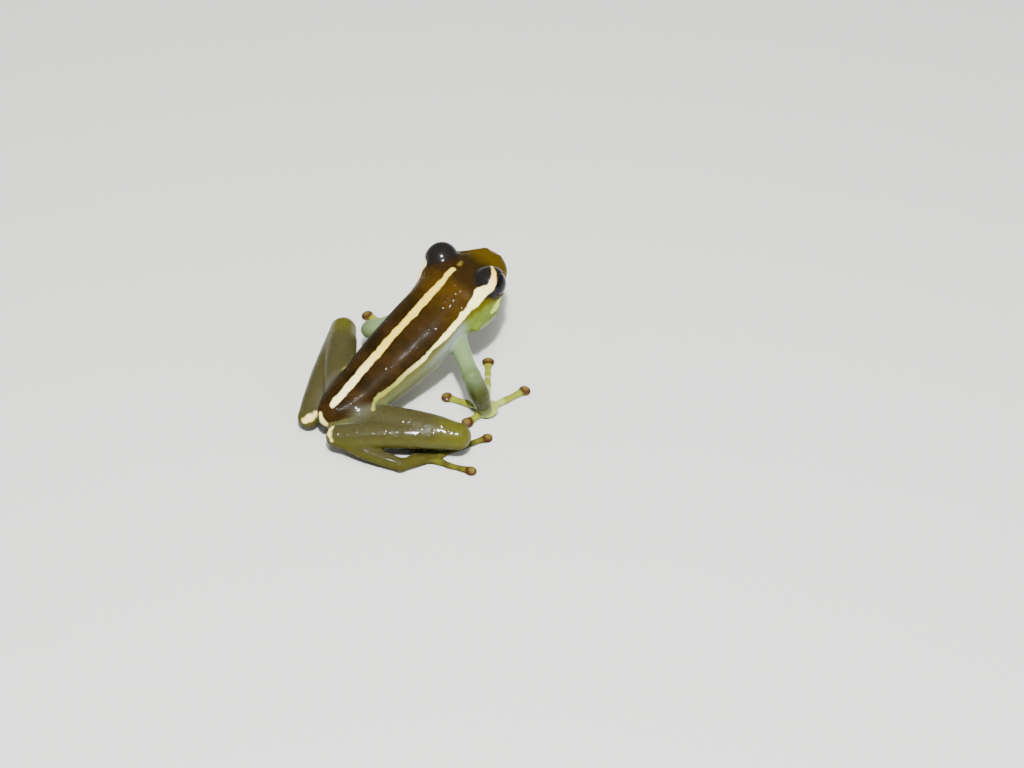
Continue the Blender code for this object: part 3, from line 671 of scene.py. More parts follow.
# The surface is drawn where the field is zero: one point in each cell that it crosses, four
# points to a face. The points are then drawn onto the surface and evened out.
SMOOTH_ROUNDS = 3
inside = field < 0
corner_count = np.zeros(counts - 1, np.uint8)
for i in (0, 1):
    for j in (0, 1):
        for k in (0, 1):
            corner_count += inside[i:counts[0] - 1 + i, j:counts[1] - 1 + j, k:counts[2] - 1 + k]
crossed = np.argwhere((corner_count > 0) & (corner_count < 8))
number = np.full(counts - 1, -1, np.int32)
number[tuple(crossed.T)] = np.arange(len(crossed))
total = np.zeros((len(crossed), 3))
hits = np.zeros(len(crossed))
for axis in range(3):
    for p in (0, 1):
        for q in (0, 1):
            start = np.zeros(3, int)
            start[(axis + 1) % 3] = p
            start[(axis + 2) % 3] = q
            stop = start.copy()
            stop[axis] = 1
            a = field[tuple((crossed + start).T)]
            b = field[tuple((crossed + stop).T)]
            cut = (a < 0) != (b < 0)
            t = np.where(cut, a / np.where(cut, a - b, 1), 0)
            point = crossed + start + (stop - start) * t[:, None]
            total += point * cut[:, None]
            hits += cut
points = low_corner + CELL * total / hits[:, None]
faces = []
for axis in range(3):
    one, two = (axis + 1) % 3, (axis + 2) % 3
    lower = np.take(inside, range(counts[axis] - 1), axis)
    upper_side = np.take(inside, range(1, counts[axis]), axis)
    at = np.argwhere(lower != upper_side)
    within = (at[:, one] > 0) & (at[:, two] > 0)
    within = within & (at[:, one] < counts[one] - 1) & (at[:, two] < counts[two] - 1)
    at = at[within]
    filled = inside[tuple(at.T)]
    ring = []
    for p, q in ((1, 1), (0, 1), (0, 0), (1, 0)):
        cell = at.copy()
        cell[:, one] -= p
        cell[:, two] -= q
        ring.append(number[tuple(cell.T)])
    ring = np.stack(ring, 1)
    ring[~filled] = ring[~filled][:, ::-1]
    faces.append(ring)
faces = np.concatenate(faces)


def look_up(where):
    """Value of the field between its cells."""
    at = (where - low_corner) / CELL
    at = np.clip(at, 0, counts - 1.001)
    base = at.astype(int)
    share = at - base
    value = 0.0
    for i in (0, 1):
        for j in (0, 1):
            for k in (0, 1):
                weight = np.abs(1 - i - share[:, 0]) * np.abs(1 - j - share[:, 1])
                weight = weight * np.abs(1 - k - share[:, 2])
                value = value + weight * field[base[:, 0] + i, base[:, 1] + j, base[:, 2] + k]
    return value


def slope_at(where):
    reach = 0.6 * CELL
    slope = np.empty_like(where)
    for a in range(3):
        step = np.zeros(3)
        step[a] = reach
        slope[:, a] = (look_up(where + step) - look_up(where - step)) / (2 * reach)
    return slope


edges = np.concatenate([faces[:, [k, (k + 1) % 4]] for k in range(4)])
one_end, other_end = edges.T
total_points = len(points)
neighbours = np.bincount(one_end, minlength=total_points)
neighbours = neighbours + np.bincount(other_end, minlength=total_points)
for _ in range(SMOOTH_ROUNDS):
    summed = np.empty_like(points)
    for a in range(3):
        summed[:, a] = (np.bincount(one_end, points[other_end, a], total_points)
                        + np.bincount(other_end, points[one_end, a], total_points))
    points = 0.5 * points + 0.5 * summed / neighbours[:, None]
    slope = slope_at(points)
    size = np.maximum((slope ** 2).sum(1), 0.05)
    points = points - slope * (np.clip(look_up(points), -CELL, CELL) / size)[:, None]
points[:, 2] = np.maximum(points[:, 2], 0.0)


def to_row(p):
    """Millimetres forward, left, up into the model's metres."""
    return np.stack((p[:, 1] + LEFT_SHIFT, BACK_SHIFT - p[:, 0], p[:, 2]), 1) * MM


skin_mesh = bpy.data.meshes.new("skin")
skin_mesh.from_pydata(to_row(points).tolist(), [], faces.tolist())
skin_mesh.shade_smooth()
skin = bpy.data.objects.new("skin", skin_mesh)
bpy.context.scene.collection.objects.link(skin)
flesh = [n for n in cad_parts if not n.startswith("eye_")]
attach(skin, "root")
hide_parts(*flesh)

# The markings are three cream stripes, one down the back from the crown to above the vent, and
# one along each side from the canthus over the lid to the groin. Each row on the body is a
# distance forward, an angle from the back line and half the stripe's width.
BACK_STRIPE = (
    (25.8, 5.9, 0.33), (24.6, 5.4, 0.4), (23.2, 4.7, 0.46), (21.4, 6.2, 0.58),
    (19.4, 6.4, 0.68), (17.4, 4.8, 0.64), (15.6, 4.9, 0.58), (13.6, 4.0, 0.58),
    (11.8, 3.3, 0.6), (9.8, 2.0, 0.62), (7.8, 2.8, 0.62), (5.8, 1.6, 0.64),
    (3.8, -1.4, 0.6), (2.0, -4.5, 0.54), (1.2, -8.0, 0.46),
)
CROWN_DASH = ((27.85, 8.0, 0.15), (27.05, 5.2, 0.2))
LID_STRIPE = (
    (0.50, -0.32, 0.82, 0.04), (0.26, -0.05, 0.97, 0.17), (0.03, 0.24, 0.97, 0.34),
    (-0.17, 0.42, 0.89, 0.42), (-0.32, 0.53, 0.78, 0.44), (-0.48, 0.59, 0.65, 0.46),
    (-0.68, 0.56, 0.46, 0.58), (-0.86, 0.42, 0.28, 0.72),
)
SIDE_STRIPE = (
    (25.4, 45.0, 0.84), (24.4, 49.5, 0.74), (23.4, 54.0, 0.58), (22.4, 57.5, 0.47),
    (21.3, 59.7, 0.48), (20.2, 60.5, 0.43), (18.9, 60.4, 0.38), (17.6, 59.6, 0.31),
    (16.4, 59.4, 0.31), (15.1, 62.0, 0.28), (13.9, 64.0, 0.28), (12.6, 63.0, 0.31),
    (11.4, 62.5, 0.27), (10.1, 64.0, 0.3), (8.9, 65.0, 0.29), (7.5, 64.5, 0.32),
    (6.5, 64.2, 0.34),
)
LID_ROLL = {"left": math.radians(42.0), "right": 0.0}
SIDE_DROP = {"left": 14.0, "right": 0.0}
GROIN_HOOK = {"left": (), "right": ((5.7, -4.1, 6.7, 0.32), (5.1, -4.6, 6.4, 0.26))}
LIP_PATCH = ((28.2, 74.0, 0.3), (27.3, 77.5, 0.5), (26.5, 81.5, 0.52), (25.8, 83.0, 0.34))
HEEL_LINE = {
    "right": (
        (-0.35, -1.95, 4.85, 0.3), (-0.85, -2.35, 4.65, 0.46),
        (-1.25, -2.85, 4.3, 0.5), (-1.5, -3.5, 3.8, 0.42),
    ),
    "left": ((0.2, 2.4, 3.3, 0.4), (-0.8, 2.4, 3.2, 0.6), (-1.5, 2.8, 2.9, 0.5)),
}
VENT_BAR = ((-0.45, 0.5, 5.3, 0.3), (-0.7, -0.15, 5.0, 0.42), (-0.7, -0.8, 4.3, 0.42))
MARKING_REACH = 1.6
MARKING_CLIP = 3.0
FAR_OFF = 9.0
LID_MARGIN = 0.42
DOME_MARGIN = 1.1
KNEE_CORE = 1.2
KNEE_FADE = 4.0
DISC_SPOT = 0.72
JOINT_SHARES = (0.45, 0.68, 0.84)
JOINT_CORE = 0.15
STRIPE_STRETCH = (8, 24)
LIP_SHADOW = 0.16
SIDE_START = 24
SIDE_FADE = 10
PALE_EDGE = ((6, 65), (14, 64), (19, 60), (23, 56), (25, 52), (28, 58), (31, 76), (36, 86))
RUMP = (4.6, 0.0)
RUMP_CORE = 3.4
RUMP_FADE = 2.4
LEG_FADE = 1.6
ARM_FADE = 1.3
HAND_FADE = 1.1

f, l, u = points.T
normals = slope_at(points)
normals = normals / np.maximum(np.linalg.norm(normals, axis=1), 1e-6)[:, None]
x, across = body_frame(f, l)
width = np.interp(x, stations, width_line)
rise = u - np.interp(x, stations, middle_line)
tall = half_height(x, rise)
angle = np.degrees(np.arctan2(np.abs(across) / width, rise / tall))
trunk = body_distance(f, l, u)


def gap_to(shape):
    """Distance of every point of the skin to a shape, where it is near."""
    near = ((points >= shape[1] - MARKING_REACH) & (points <= shape[2] + MARKING_REACH)).all(1)
    gap = np.full(len(points), FAR_OFF)
    gap[near] = shape[0](f[near], l[near], u[near])
    return gap


def painted(rows):
    """Stripe through rows of body distance, angle and half width, as rods on the skin."""
    spots = [onto_body(body_point(r[0], r[1]))[0] for r in rows]
    return gap_to(rods(spots, tuple(r[2] for r in rows)))


def placed(rows):
    """Stripe through rows of plain points and half width."""
    return gap_to(rods([r[:3] for r in rows], tuple(r[3] for r in rows)))


def from_point(point):
    return np.linalg.norm(points - point, axis=1)


stripe = painted(BACK_STRIPE)
lid = np.zeros(len(points))
dome = np.zeros(len(points))
lip = np.full(len(points), FAR_OFF)
for side, label in ((1, "left"), (-1, "right")):
    centre = eyes[label][0]
    roll, drop, hook = LID_ROLL[label], SIDE_DROP[label], GROIN_HOOK[label]
    spots = []
    for ahead_part, out_part, up_part, _ in LID_STRIPE:
        rolled_out = out_part * math.cos(roll) + up_part * math.sin(roll)
        rolled_up = up_part * math.cos(roll) - out_part * math.sin(roll)
        spots.append(centre + head_vector(ahead_part, side * rolled_out, rolled_up) * LID_RADIUS)
    spots += [onto_body(body_point(a, side * (b + drop)))[0] for a, b, c in SIDE_STRIPE]
    spots += [np.array(row[:3]) for row in hook]
    halves = [row[-1] for row in LID_STRIPE + SIDE_STRIPE + hook]
    stripe = np.minimum(stripe, gap_to(rods(spots, halves)))
    away = from_point(centre)
    top_of_lid = ease(((u - centre[2]) / away + 0.75) / 0.55)
    lid = np.maximum(lid, ease((LID_RADIUS + LID_MARGIN - away) / 0.5) * top_of_lid)
    dome = np.maximum(dome, ease((LID_RADIUS + DOME_MARGIN - away) / 0.6))
    lip = np.minimum(lip, painted([(a, side * b, c) for a, b, c in LIP_PATCH]))
cream = placed(VENT_BAR)
leg = np.full(len(points), FAR_OFF)
foot, arm, hand = leg.copy(), leg.copy(), leg.copy()
for side in ("right", "left"):
    cream = np.minimum(cream, placed(HEEL_LINE[side]))
    leg = np.minimum(leg, gap_to(limbs["leg_" + side]))
    foot = np.minimum(foot, gap_to(limbs["foot_" + side]))
    arm = np.minimum(arm, gap_to(limbs["arm_" + side]))
    hand = np.minimum(hand, gap_to(limbs["hand_" + side]))
arm_share = np.zeros(len(points))
knee_share = np.zeros(len(points))
for side in ("right", "left"):
    shoulder, elbow, wrist = [np.array(t[side]) for t in (SHOULDER, ELBOW, WRIST)]
    near = (points[:, 1] < 0) == (side == "right")
    share, gap = np.zeros(len(points)), np.full(len(points), 99.0)
    for a, b, offset in ((shoulder, elbow, 0.0), (elbow, wrist, 0.5)):
        t = np.clip(((points - a) @ (b - a)) / ((b - a) @ (b - a)), 0, 1)
        here = np.linalg.norm(points - a - t[:, None] * (b - a), axis=1)
        share = np.where(here < gap, offset + 0.5 * t, share)
        gap = np.minimum(here, gap)
    arm_share[near] = share[near]
    from_knee = from_point(np.array(KNEE[side]))
    knee_share = np.maximum(knee_share, ease(1.0 - (from_knee - KNEE_CORE) / KNEE_FADE))
disc_gap = np.full(len(points), FAR_OFF)
joint = np.zeros(len(points))
for path in digits:
    length = np.linalg.norm(path[-1] - path[0])
    disc_gap = np.minimum(disc_gap, from_point(curve_point(path, 1.0 - DISC_SPOT / length)))
    for share in JOINT_SHARES:
        from_joint = from_point(curve_point(path, share))
        joint = np.maximum(joint, ease(1.0 - (from_joint - JOINT_CORE) / 1.0))

edge_at, edge_angle = np.array(PALE_EDGE).T
past_edge = angle - np.interp(x, edge_at, edge_angle)
on_back = (x > STRIPE_STRETCH[0]) * (x < STRIPE_STRETCH[1])
off_lip = np.abs(u - lip_height(x)) / LIP_SHADOW
from_rump = np.linalg.norm(points[:, :2] - np.array(RUMP), axis=1)
hind = np.minimum(leg, foot)
fore = np.minimum(arm, hand)
flesh_gap = np.minimum(np.minimum(arm, leg), trunk)


def clipped(gap):
    return np.clip(gap, -MARKING_CLIP, MARKING_CLIP)


masks = {
    "stripe": clipped(stripe) + MARKING_CLIP * ease((trunk - 0.5) / 0.6) * on_back,
    "dash": clipped(painted(CROWN_DASH)),
    "cream": clipped(cream),
    "lip": clipped(lip),
    # The mouth mask follows the crease along the lips, where painted shade darkens the skin.
    "mouth": ease(1.3 - off_lip) * ease((x - MOUTH_CORNER) / 0.8) * (trunk < 0.6),
    "lid": lid,
    "dome": dome,
    "forward": x,
    "side": ease((angle - SIDE_START) / SIDE_FADE),
    "below": np.radians(past_edge) * (width + tall) / 2,
    "leg": ease(0.5 + (trunk - hind) / LEG_FADE),
    "arm": ease(0.5 + (np.minimum(trunk, hind) - fore) / ARM_FADE),
    "hand": ease(0.5 + (flesh_gap - np.minimum(hand, foot)) / HAND_FADE),
    "arm_share": arm_share,
    "knee": knee_share,
    "off_rump": ease((from_rump - RUMP_CORE) / RUMP_FADE),
    "disc": disc_gap,
    "joint": joint,
    "finger": ease(0.5 + (foot - hand) / 1.0),
    "upper": normals[:, 2],
}
for name, values in masks.items():
    layer = skin_mesh.attributes.new(name, "FLOAT", "POINT")
    layer.data.foreach_set("value", values.astype(np.float32))

# The hide is thin, wet and a little translucent: dark chocolate on the back, warm on the nape,
# olive on the snout, paler and greener on the flanks and limbs, with fine freckles. Low beads
# under a film of water catch the light, and the belly is rough with small pale warts.
CHOCOLATE = (0.0105, 0.0066, 0.0017)
WARM_BROWN = (0.026, 0.0132, 0.0033)
NAPE_ORANGE = (0.052, 0.027, 0.0022)
SNOUT_OLIVE = (0.060, 0.036, 0.0006)
CROWN_DARK = (0.020, 0.0105, 0.0027)
LID_BLACK = (0.0075, 0.0078, 0.0085)
STRIPE_CREAM = (0.74, 0.55, 0.075)
STRIPE_REAR = (0.98, 0.80, 0.42)
SIDE_CREAM = (0.95, 0.86, 0.34)
SIDE_REAR = (0.24, 0.25, 0.05)
GOLD = (0.85, 0.55, 0.10)
FLANK_TAN = (0.085, 0.085, 0.025)
FLANK_REAR = (0.115, 0.125, 0.055)
FLANK_LILAC = (0.17, 0.20, 0.17)
BELLY_CREAM = (0.36, 0.38, 0.24)
JAW_GREEN = (0.108, 0.152, 0.019)
CHEEK_OLIVE = (0.060, 0.050, 0.003)
LIP_CREAM = (0.42, 0.52, 0.10)
LEG_CORE = (0.041, 0.037, 0.0125)
LEG_EDGE = (0.053, 0.051, 0.0075)
KNEE_OLIVE = (0.074, 0.072, 0.0055)
RUMP_GREY = (0.066, 0.066, 0.042)
ARM_PALE = (0.14, 0.20, 0.09)
ARM_OLIVE = (0.033, 0.037, 0.003)
HAND_OLIVE = (0.13, 0.16, 0.012)
DIGIT_CREAM = (0.34, 0.42, 0.10)
TOE_OLIVE = (0.048, 0.044, 0.008)
JOINT_YELLOW = (0.27, 0.27, 0.03)
DISC_BROWN = (0.040, 0.014, 0.005)
DISC_PALE = (0.13, 0.10, 0.022)
# Painted shade for the crease of the mouth, not a pigment of the skin.
MOUTH_CREASE_SHADE = (0.018, 0.014, 0.005)
HEEL_CREAM = (0.80, 0.68, 0.22)
SKIN_IOR = 1.38
WATER_IOR = 1.33
BROAD_SCALE = 260.0
CLOUD_SCALE = 700.0
GRAIN_SCALE = 5200.0
WAVE_SCALE = 800.0
WAVE_HEIGHT = 0.6
NAPE_START = (17.5, 22.0)
NAPE_END = (25.6, 23.8)
NAPE_WARMTH = 0.75
CROWN_START = (23.4, 25.6)
CROWN_END = (30.5, 28.0)
SNOUT_START = (29.4, 33.2)
LILAC_START = (13.0, 19.0)
CHEEK_START = (20.8, 22.6)
FLANK_DEPTH = (0.5, 1.6)
BELLY_DEPTH = (2.6, 5.0)
JAW_DEPTH = (0.6, 2.0)
THROAT_DEPTH = (3.6, 6.8)
BACK_EDGE = (0.05, 0.5)
MOUTH_SHADE_STRENGTH = 0.8
LEG_SHADE = (0.35, 0.95)
KNEE_STRENGTH = 0.8
SLEEVE_SHARE = (0.3, 0.72)
DISC_RING = (0.42, 0.8)
DISC_EDGE = (1.15, 0.85)
LID_DARKNESS = 0.9
DASH_STRENGTH = 0.2
BACK_CREAM_RUN = (3.0, 12.0)
SIDE_CREAM_RUN = (8.0, 19.0)
GOLD_START = (26.0, 27.8)
LIP_SOFTNESS = 0.24
DASH_SOFTNESS = 0.3
STRIPE_SOFTNESS = 0.12
HEEL_SOFTNESS = 0.14
FRECKLES = (0.62, 0.72)
FRECKLE_DARKNESS = 0.16
BEAD_SCALE = 1150.0
BEAD_SCATTER = 0.8
BEAD_REACH = 0.42
SHOULDERS_START = (21.0, 22.5)
SHOULDERS_END = (27.5, 26.0)
FILM_SCALE = 330.0
FILM_HEIGHT = 2.0
WART_SCALE = 1900.0
WART_DEPTH = (3.4, 5.2)
WART_HEIGHT = 1.6
PORE_SCALE = 6500.0
PORE_HEIGHT = 0.35
RELIEF_DEPTH = 0.00004
SKIN_ROUGHNESS = (0.26, 0.4)
FLESH_SHARE = 0.25
FLESH_RADIUS = (1.0, 0.6, 0.25)
FLESH_DEPTH = 0.0008
WET_START = (20.0, 22.0)
WET_REAR = 0.006
WET_FRONT = 0.16
WET_BEADS = 0.3
WET_LIMBS = 0.4
WET_LEG_HEIGHT = (0.0030, 0.0042)
WET_LEG_LOW = 0.06
FILM_ROUGHNESS = 0.07

skin_paint = bpy.data.materials.new("frog_skin")
skin_paint.use_nodes = True
nodes, links = skin_paint.node_tree.nodes, skin_paint.node_tree.links
shader = nodes["Principled BSDF"]
coordinates = nodes.new("ShaderNodeTexCoord")


def read(name):
    node = nodes.new("ShaderNodeAttribute")
    node.attribute_name = name
    return node.outputs["Fac"]


def noise(scale, detail, roughness=0.55):
    node = nodes.new("ShaderNodeTexNoise")
    node.inputs["Scale"].default_value = scale
    node.inputs["Detail"].default_value = detail
    node.inputs["Roughness"].default_value = roughness
    links.new(coordinates.outputs["Object"], node.inputs["Vector"])
    return node.outputs["Fac"]


def cells(scale, scatter=1.0):
    node = nodes.new("ShaderNodeTexVoronoi")
    node.inputs["Scale"].default_value = scale
    node.inputs["Randomness"].default_value = scatter
    links.new(coordinates.outputs["Object"], node.inputs["Vector"])
    return node.outputs["Distance"], node.outputs["Color"]


def count(kind, a, b):
    node = nodes.new("ShaderNodeMath")
    node.operation = kind
    for socket, value in zip(node.inputs, (a, b)):
        if isinstance(value, (int, float)):
            socket.default_value = value
        else:
            links.new(value, socket)
    return node.outputs[0]


def times(a, b):
    return count("MULTIPLY", a, b)


def plus(a, b):
    return count("ADD", a, b)


def minus(a, b):
    return count("SUBTRACT", a, b)


def larger(a, b):
    return count("MAXIMUM", a, b)


def between(value, start, stop, low=0.0, high=1.0):
    """Smooth change from low to high as the value passes from start to stop."""
    node = nodes.new("ShaderNodeMapRange")
    node.interpolation_type = "SMOOTHSTEP"
    node.inputs["From Min"].default_value = start
    node.inputs["From Max"].default_value = stop
    node.inputs["To Min"].default_value = low
    node.inputs["To Max"].default_value = high
    links.new(value, node.inputs["Value"])
    return node.outputs["Result"]


def blend_colour(under, over, share):
    node = nodes.new("ShaderNodeMix")
    node.data_type = "RGBA"
    for socket, value in ((node.inputs[6], under), (node.inputs[7], over)):
        if isinstance(value, tuple):
            socket.default_value = (*value, 1.0)
        else:
            links.new(value, socket)
    links.new(share, node.inputs[0])
    return node.outputs[2]


broad = noise(BROAD_SCALE, 3.0)
cloud = noise(CLOUD_SCALE, 4.0)
grain = noise(GRAIN_SCALE, 3.0, 0.65)
wave = times(minus(noise(WAVE_SCALE, 2.0), 0.5), WAVE_HEIGHT)
forward, below = read("forward"), read("below")
wavy_depth = plus(below, wave)


def edge(distance, soft):
    """1 inside a marking and 0 outside it, with a slightly wavy rim."""
    return between(plus(distance, wave), soft, -soft)


# Back, crown and snout, then the flanks with the belly and the cheeks below them
back_colour = blend_colour(CHOCOLATE, WARM_BROWN, between(broad, 0.35, 0.65))
nape = times(between(forward, *NAPE_START), between(forward, *NAPE_END))
nape = times(nape, between(cloud, 0.2, 0.6, 0.4, 1.0))
back_colour = blend_colour(back_colour, NAPE_ORANGE, times(nape, NAPE_WARMTH))
crown = times(between(forward, *CROWN_START), between(forward, *CROWN_END))
back_colour = blend_colour(back_colour, CROWN_DARK, crown)
snout = between(plus(forward, times(broad, 2.0)), *SNOUT_START)
back_colour = blend_colour(back_colour, SNOUT_OLIVE, snout)
flank_pale = blend_colour(FLANK_REAR, FLANK_LILAC, between(forward, *LILAC_START))
flank = blend_colour(FLANK_TAN, flank_pale, between(below, *FLANK_DEPTH))
flank = blend_colour(flank, BELLY_CREAM, between(below, *BELLY_DEPTH))
cheek = blend_colour(CHEEK_OLIVE, JAW_GREEN, between(wavy_depth, *JAW_DEPTH))
cheek = blend_colour(cheek, BELLY_CREAM, between(below, *THROAT_DEPTH))
flank = blend_colour(flank, cheek, between(forward, *CHEEK_START))
colour = blend_colour(back_colour, flank, between(wavy_depth, *BACK_EDGE))
colour = blend_colour(colour, LIP_CREAM, edge(read("lip"), LIP_SOFTNESS))
# Painted shade: the crease of the mouth is darkened along the lip line as if in shadow.
colour = blend_colour(colour, MOUTH_CREASE_SHADE, times(read("mouth"), MOUTH_SHADE_STRENGTH))

# Legs, arms, and the digits with their joints and discs
upward = plus(read("upper"), times(cloud, 0.3))
limb = blend_colour(LEG_EDGE, LEG_CORE, between(upward, *LEG_SHADE))
limb = blend_colour(limb, KNEE_OLIVE, times(read("knee"), KNEE_STRENGTH))
limb = blend_colour(RUMP_GREY, limb, read("off_rump"))
colour = blend_colour(colour, limb, read("leg"))
sleeve = blend_colour(ARM_PALE, ARM_OLIVE, between(read("arm_share"), *SLEEVE_SHARE))
colour = blend_colour(colour, sleeve, read("arm"))
palm_colour = blend_colour(TOE_OLIVE, HAND_OLIVE, read("finger"))
shaft_colour = blend_colour(TOE_OLIVE, DIGIT_CREAM, read("finger"))
off_joint = between(plus(read("joint"), times(cloud, 0.4)), 0.5, 0.0)
digit_colour = blend_colour(palm_colour, shaft_colour, off_joint)
banding = times(read("joint"), between(read("finger"), 0.0, 1.0, 0.2, 0.55))
digit_colour = blend_colour(digit_colour, JOINT_YELLOW, banding)
disc_colour = blend_colour(DISC_PALE, DISC_BROWN, between(read("disc"), *DISC_RING))
digit_colour = blend_colour(digit_colour, disc_colour, between(read("disc"), *DISC_EDGE))
colour = blend_colour(colour, digit_colour, read("hand"))

# Lids, stripes and freckles over everything
colour = blend_colour(colour, LID_BLACK, times(read("lid"), LID_DARKNESS))
dash = times(edge(read("dash"), DASH_SOFTNESS), DASH_STRENGTH)
colour = blend_colour(colour, STRIPE_CREAM, dash)
back_cream = blend_colour(STRIPE_REAR, STRIPE_CREAM, between(forward, *BACK_CREAM_RUN))
side_cream = blend_colour(SIDE_REAR, SIDE_CREAM, between(forward, *SIDE_CREAM_RUN))
side_cream = blend_colour(side_cream, GOLD, between(forward, *GOLD_START))
cream_colour = blend_colour(back_cream, side_cream, read("side"))
colour = blend_colour(colour, cream_colour, edge(read("stripe"), STRIPE_SOFTNESS))
colour = blend_colour(colour, HEEL_CREAM, edge(read("cream"), HEEL_SOFTNESS))
freckles = times(between(grain, *FRECKLES), FRECKLE_DARKNESS)
colour = blend_colour(colour, CHOCOLATE, freckles)
links.new(colour, shader.inputs["Base Color"])

# Beads, most of them on the legs and shoulders, the water over them, and the belly's warts
from_bead, bead_pick = cells(BEAD_SCALE, BEAD_SCATTER)
shoulders = times(between(forward, *SHOULDERS_START), between(forward, *SHOULDERS_END))
chosen = larger(between(bead_pick, 0.5, 0.55), larger(read("leg"), shoulders))
raised = between(larger(times(read("leg"), 0.5), shoulders), 0.0, 1.0, 1.0, 1.9)
beads = times(between(from_bead, BEAD_REACH, 0.0), times(chosen, raised))
ripples = times(minus(noise(FILM_SCALE, 1.0), 0.5), FILM_HEIGHT)
film = times(plus(beads, ripples), between(read("dome"), 0.0, 1.0, 1.0, 0.0))
from_wart = cells(WART_SCALE)[0]
off_limbs = minus(1.0, larger(read("leg"), read("arm")))
belly = times(between(below, *WART_DEPTH), off_limbs)
warts = times(between(from_wart, 0.5, 0.1), times(belly, WART_HEIGHT))
pores = plus(plus(film, warts), times(noise(PORE_SCALE, 3.0), PORE_HEIGHT))


def relief(height):
    node = nodes.new("ShaderNodeBump")
    node.inputs["Strength"].default_value = 1.0
    node.inputs["Distance"].default_value = RELIEF_DEPTH
    links.new(height, node.inputs["Height"])
    return node.outputs["Normal"]


links.new(relief(pores), shader.inputs["Normal"])
links.new(relief(film), shader.inputs["Coat Normal"])
links.new(between(grain, 0.3, 0.7, *SKIN_ROUGHNESS), shader.inputs["Roughness"])
shader.inputs["Subsurface Weight"].default_value = FLESH_SHARE
shader.inputs["Subsurface Radius"].default_value = FLESH_RADIUS
shader.inputs["Subsurface Scale"].default_value = FLESH_DEPTH
shader.inputs["IOR"].default_value = SKIN_IOR
spot = nodes.new("ShaderNodeSeparateXYZ")
links.new(coordinates.outputs["Object"], spot.inputs["Vector"])
high_on_leg = between(spot.outputs["Z"], *WET_LEG_HEIGHT, WET_LEG_LOW, 1.0)
wet_limbs = larger(times(read("leg"), high_on_leg), read("arm"))
wet_limbs = larger(between(read("lid"), 0.7, 0.95), wet_limbs)
wet = plus(between(forward, *WET_START, WET_REAR, WET_FRONT), times(beads, WET_BEADS))
wet = larger(wet, times(wet_limbs, WET_LIMBS))
links.new(wet, shader.inputs["Coat Weight"])
links.new(between(wet, 0.1, 0.4, 0.012, 0.06), shader.inputs["Specular IOR Level"])
shader.inputs["Coat IOR"].default_value = WATER_IOR
shader.inputs["Coat Roughness"].default_value = FILM_ROUGHNESS
skin_mesh.materials.append(skin_paint)

# The eyes are dark balls with a clear, wet front that bulges through the opening of the lids.
# The iris is a thin dark ring, copper at its front edge, round a wide black pupil that is drawn
# out along the head.
PUPIL_HALF = (1.1, 0.85)
PUPIL_RIM = (1.04, 0.98)
IRIS_HALF = 1.55
IRIS_RIM = (0.9, 1.0)
COPPER_START = (0.1, 1.2)
CORNEA_BULGE = 0.13
BLACK = (0.002, 0.0025, 0.004)
COPPER = (0.12, 0.055, 0.014)
DARK_COPPER = (0.006, 0.004, 0.004)
FLECK_SCALE = 3500.0
EYE_ROUGHNESS = 0.25
EYE_SHINE = 0.05
TEAR_SHARE = 0.5
TEAR_ROUGHNESS = 0.02
eye_paint = bpy.data.materials.new("frog_eye")
eye_paint.use_nodes = True
nodes, links = eye_paint.node_tree.nodes, eye_paint.node_tree.links
eye_shader = nodes["Principled BSDF"]
coordinates = nodes.new("ShaderNodeTexCoord")
flecks = noise(FLECK_SCALE, 4.0, 0.7)
front_iris = between(read("ahead"), *COPPER_START)
copper = times(front_iris, between(flecks, 0.35, 0.62, 0.3, 1.0))
iris_colour = blend_colour(DARK_COPPER, COPPER, copper)
ragged_pupil = plus(read("pupil"), times(minus(flecks, 0.5), 0.15))
eye_colour = blend_colour(iris_colour, BLACK, between(ragged_pupil, *PUPIL_RIM))
eye_colour = blend_colour(eye_colour, BLACK, between(read("iris"), *IRIS_RIM))
links.new(eye_colour, eye_shader.inputs["Base Color"])
eye_shader.inputs["Roughness"].default_value = EYE_ROUGHNESS
eye_shader.inputs["Specular IOR Level"].default_value = EYE_SHINE
eye_shader.inputs["Coat Weight"].default_value = TEAR_SHARE
eye_shader.inputs["Coat IOR"].default_value = WATER_IOR
eye_shader.inputs["Coat Roughness"].default_value = TEAR_ROUGHNESS
for label, (centre, look, ahead, lift) in eyes.items():
    ball = bpy.data.meshes.new("eyeball")
    shape = bmesh.new()
    bmesh.ops.create_uvsphere(shape, u_segments=72, v_segments=60, radius=1.0)
    shape.to_mesh(ball)
    shape.free()
    co = np.array([v.co for v in ball.vertices])
    bulge = EYE_RADIUS + CORNEA_BULGE * ease((co[:, 2] - 0.5) / 0.4)
    local = (co[:, [0]] * ahead + co[:, [1]] * lift + co[:, [2]] * look) * bulge[:, None]
    ball.vertices.foreach_set("co", to_row(local + centre).ravel())
    ball.shade_smooth()
    along, over = co[:, 0] * bulge, co[:, 1] * bulge
    rear = FAR_OFF * (co[:, 2] < 0)
    values = {
        "pupil": np.sqrt((along / PUPIL_HALF[0]) ** 2 + (over / PUPIL_HALF[1]) ** 2) + rear,
        "iris": np.sqrt(along ** 2 + over ** 2) / IRIS_HALF + rear,
        "ahead": along,
    }
    for name, numbers in values.items():
        layer = ball.attributes.new(name, "FLOAT", "POINT")
        layer.data.foreach_set("value", numbers.astype(np.float32))
    ball.materials.append(eye_paint)
    eye = bpy.data.objects.new("eyeball_" + label, ball)
    bpy.context.scene.collection.objects.link(eye)
    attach(eye, "root")
    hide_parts("eye_" + label)

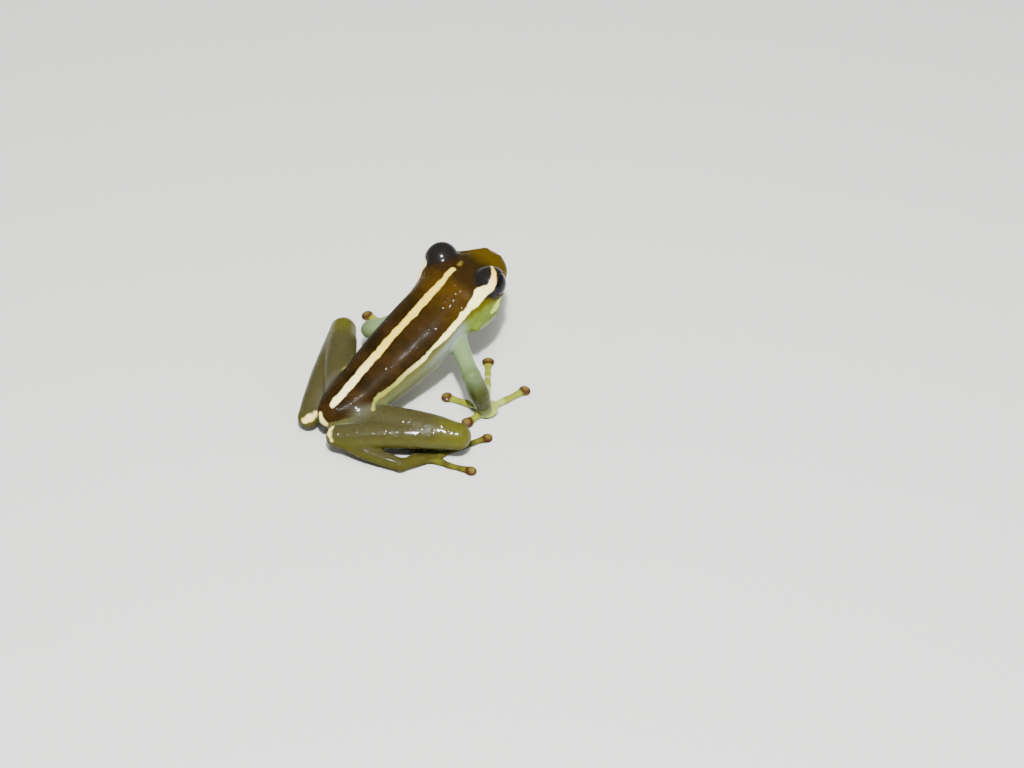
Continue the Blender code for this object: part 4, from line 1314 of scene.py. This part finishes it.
# A plain pale floor under plain studio lights. The flash stands close to the camera and lights
# the frog, sparkle stands at the same spot and shows only in the wet skin and the eyes, and soft
# lamps stand round them.
FLOOR_HALF = 1.0
FLOOR_GREY = (0.56, 0.56, 0.54, 1)
FLOOR_ROUGHNESS = 0.8
WORLD_GREY = (0.9, 0.92, 0.95, 1)
WORLD_STRENGTH = 0.2
corners = ((-1, -1), (1, -1), (1, 1), (-1, 1))
floor_corners = [(x * FLOOR_HALF, y * FLOOR_HALF, 0) for x, y in corners]
floor_mesh = bpy.data.meshes.new("floor")
floor_mesh.from_pydata(floor_corners, [], [(0, 1, 2, 3)])
floor = bpy.data.objects.new("floor", floor_mesh)
bpy.context.scene.collection.objects.link(floor)
floor_paint = bpy.data.materials.new("floor")
floor_paint.use_nodes = True
floor_shader = floor_paint.node_tree.nodes["Principled BSDF"]
floor_shader.inputs["Base Color"].default_value = FLOOR_GREY
floor_shader.inputs["Roughness"].default_value = FLOOR_ROUGHNESS
floor_mesh.materials.append(floor_paint)

toward_camera = place * MM
flash_spot = toward_camera * 0.92 + above * 0.12
key_spot = toward_camera * 1.05 + above * 0.22
# Name, place, size, power, whether it lights matt skin and whether wet skin mirrors it
LIGHTS = (
    ("flash", flash_spot, 0.02, 4.4, True, False),
    ("sparkle", flash_spot, 0.05, 9.0, False, True),
    ("key", key_spot, 0.2, 2.4, True, False),
    ("fill", Vector((-0.5, -0.35, 0.3)), 0.5, 2.2, True, False),
    ("rim", Vector((0.5, 0.3, 0.3)), 0.5, 1.0, True, False),
)
for name, spot, size, power, lighting, mirrored in LIGHTS:
    light_data = bpy.data.lights.new(name, "AREA")
    light_data.size = size
    light_data.energy = power
    light = bpy.data.objects.new(name, light_data)
    light.location = spot
    light.rotation_euler = (-spot).to_track_quat("-Z", "Y").to_euler()
    light.visible_diffuse = lighting
    light.visible_glossy = mirrored
    bpy.context.scene.collection.objects.link(light)
world = bpy.data.worlds.new("studio")
world.use_nodes = True
background = world.node_tree.nodes["Background"]
background.inputs["Color"].default_value = WORLD_GREY
background.inputs["Strength"].default_value = WORLD_STRENGTH
bpy.context.scene.world = world
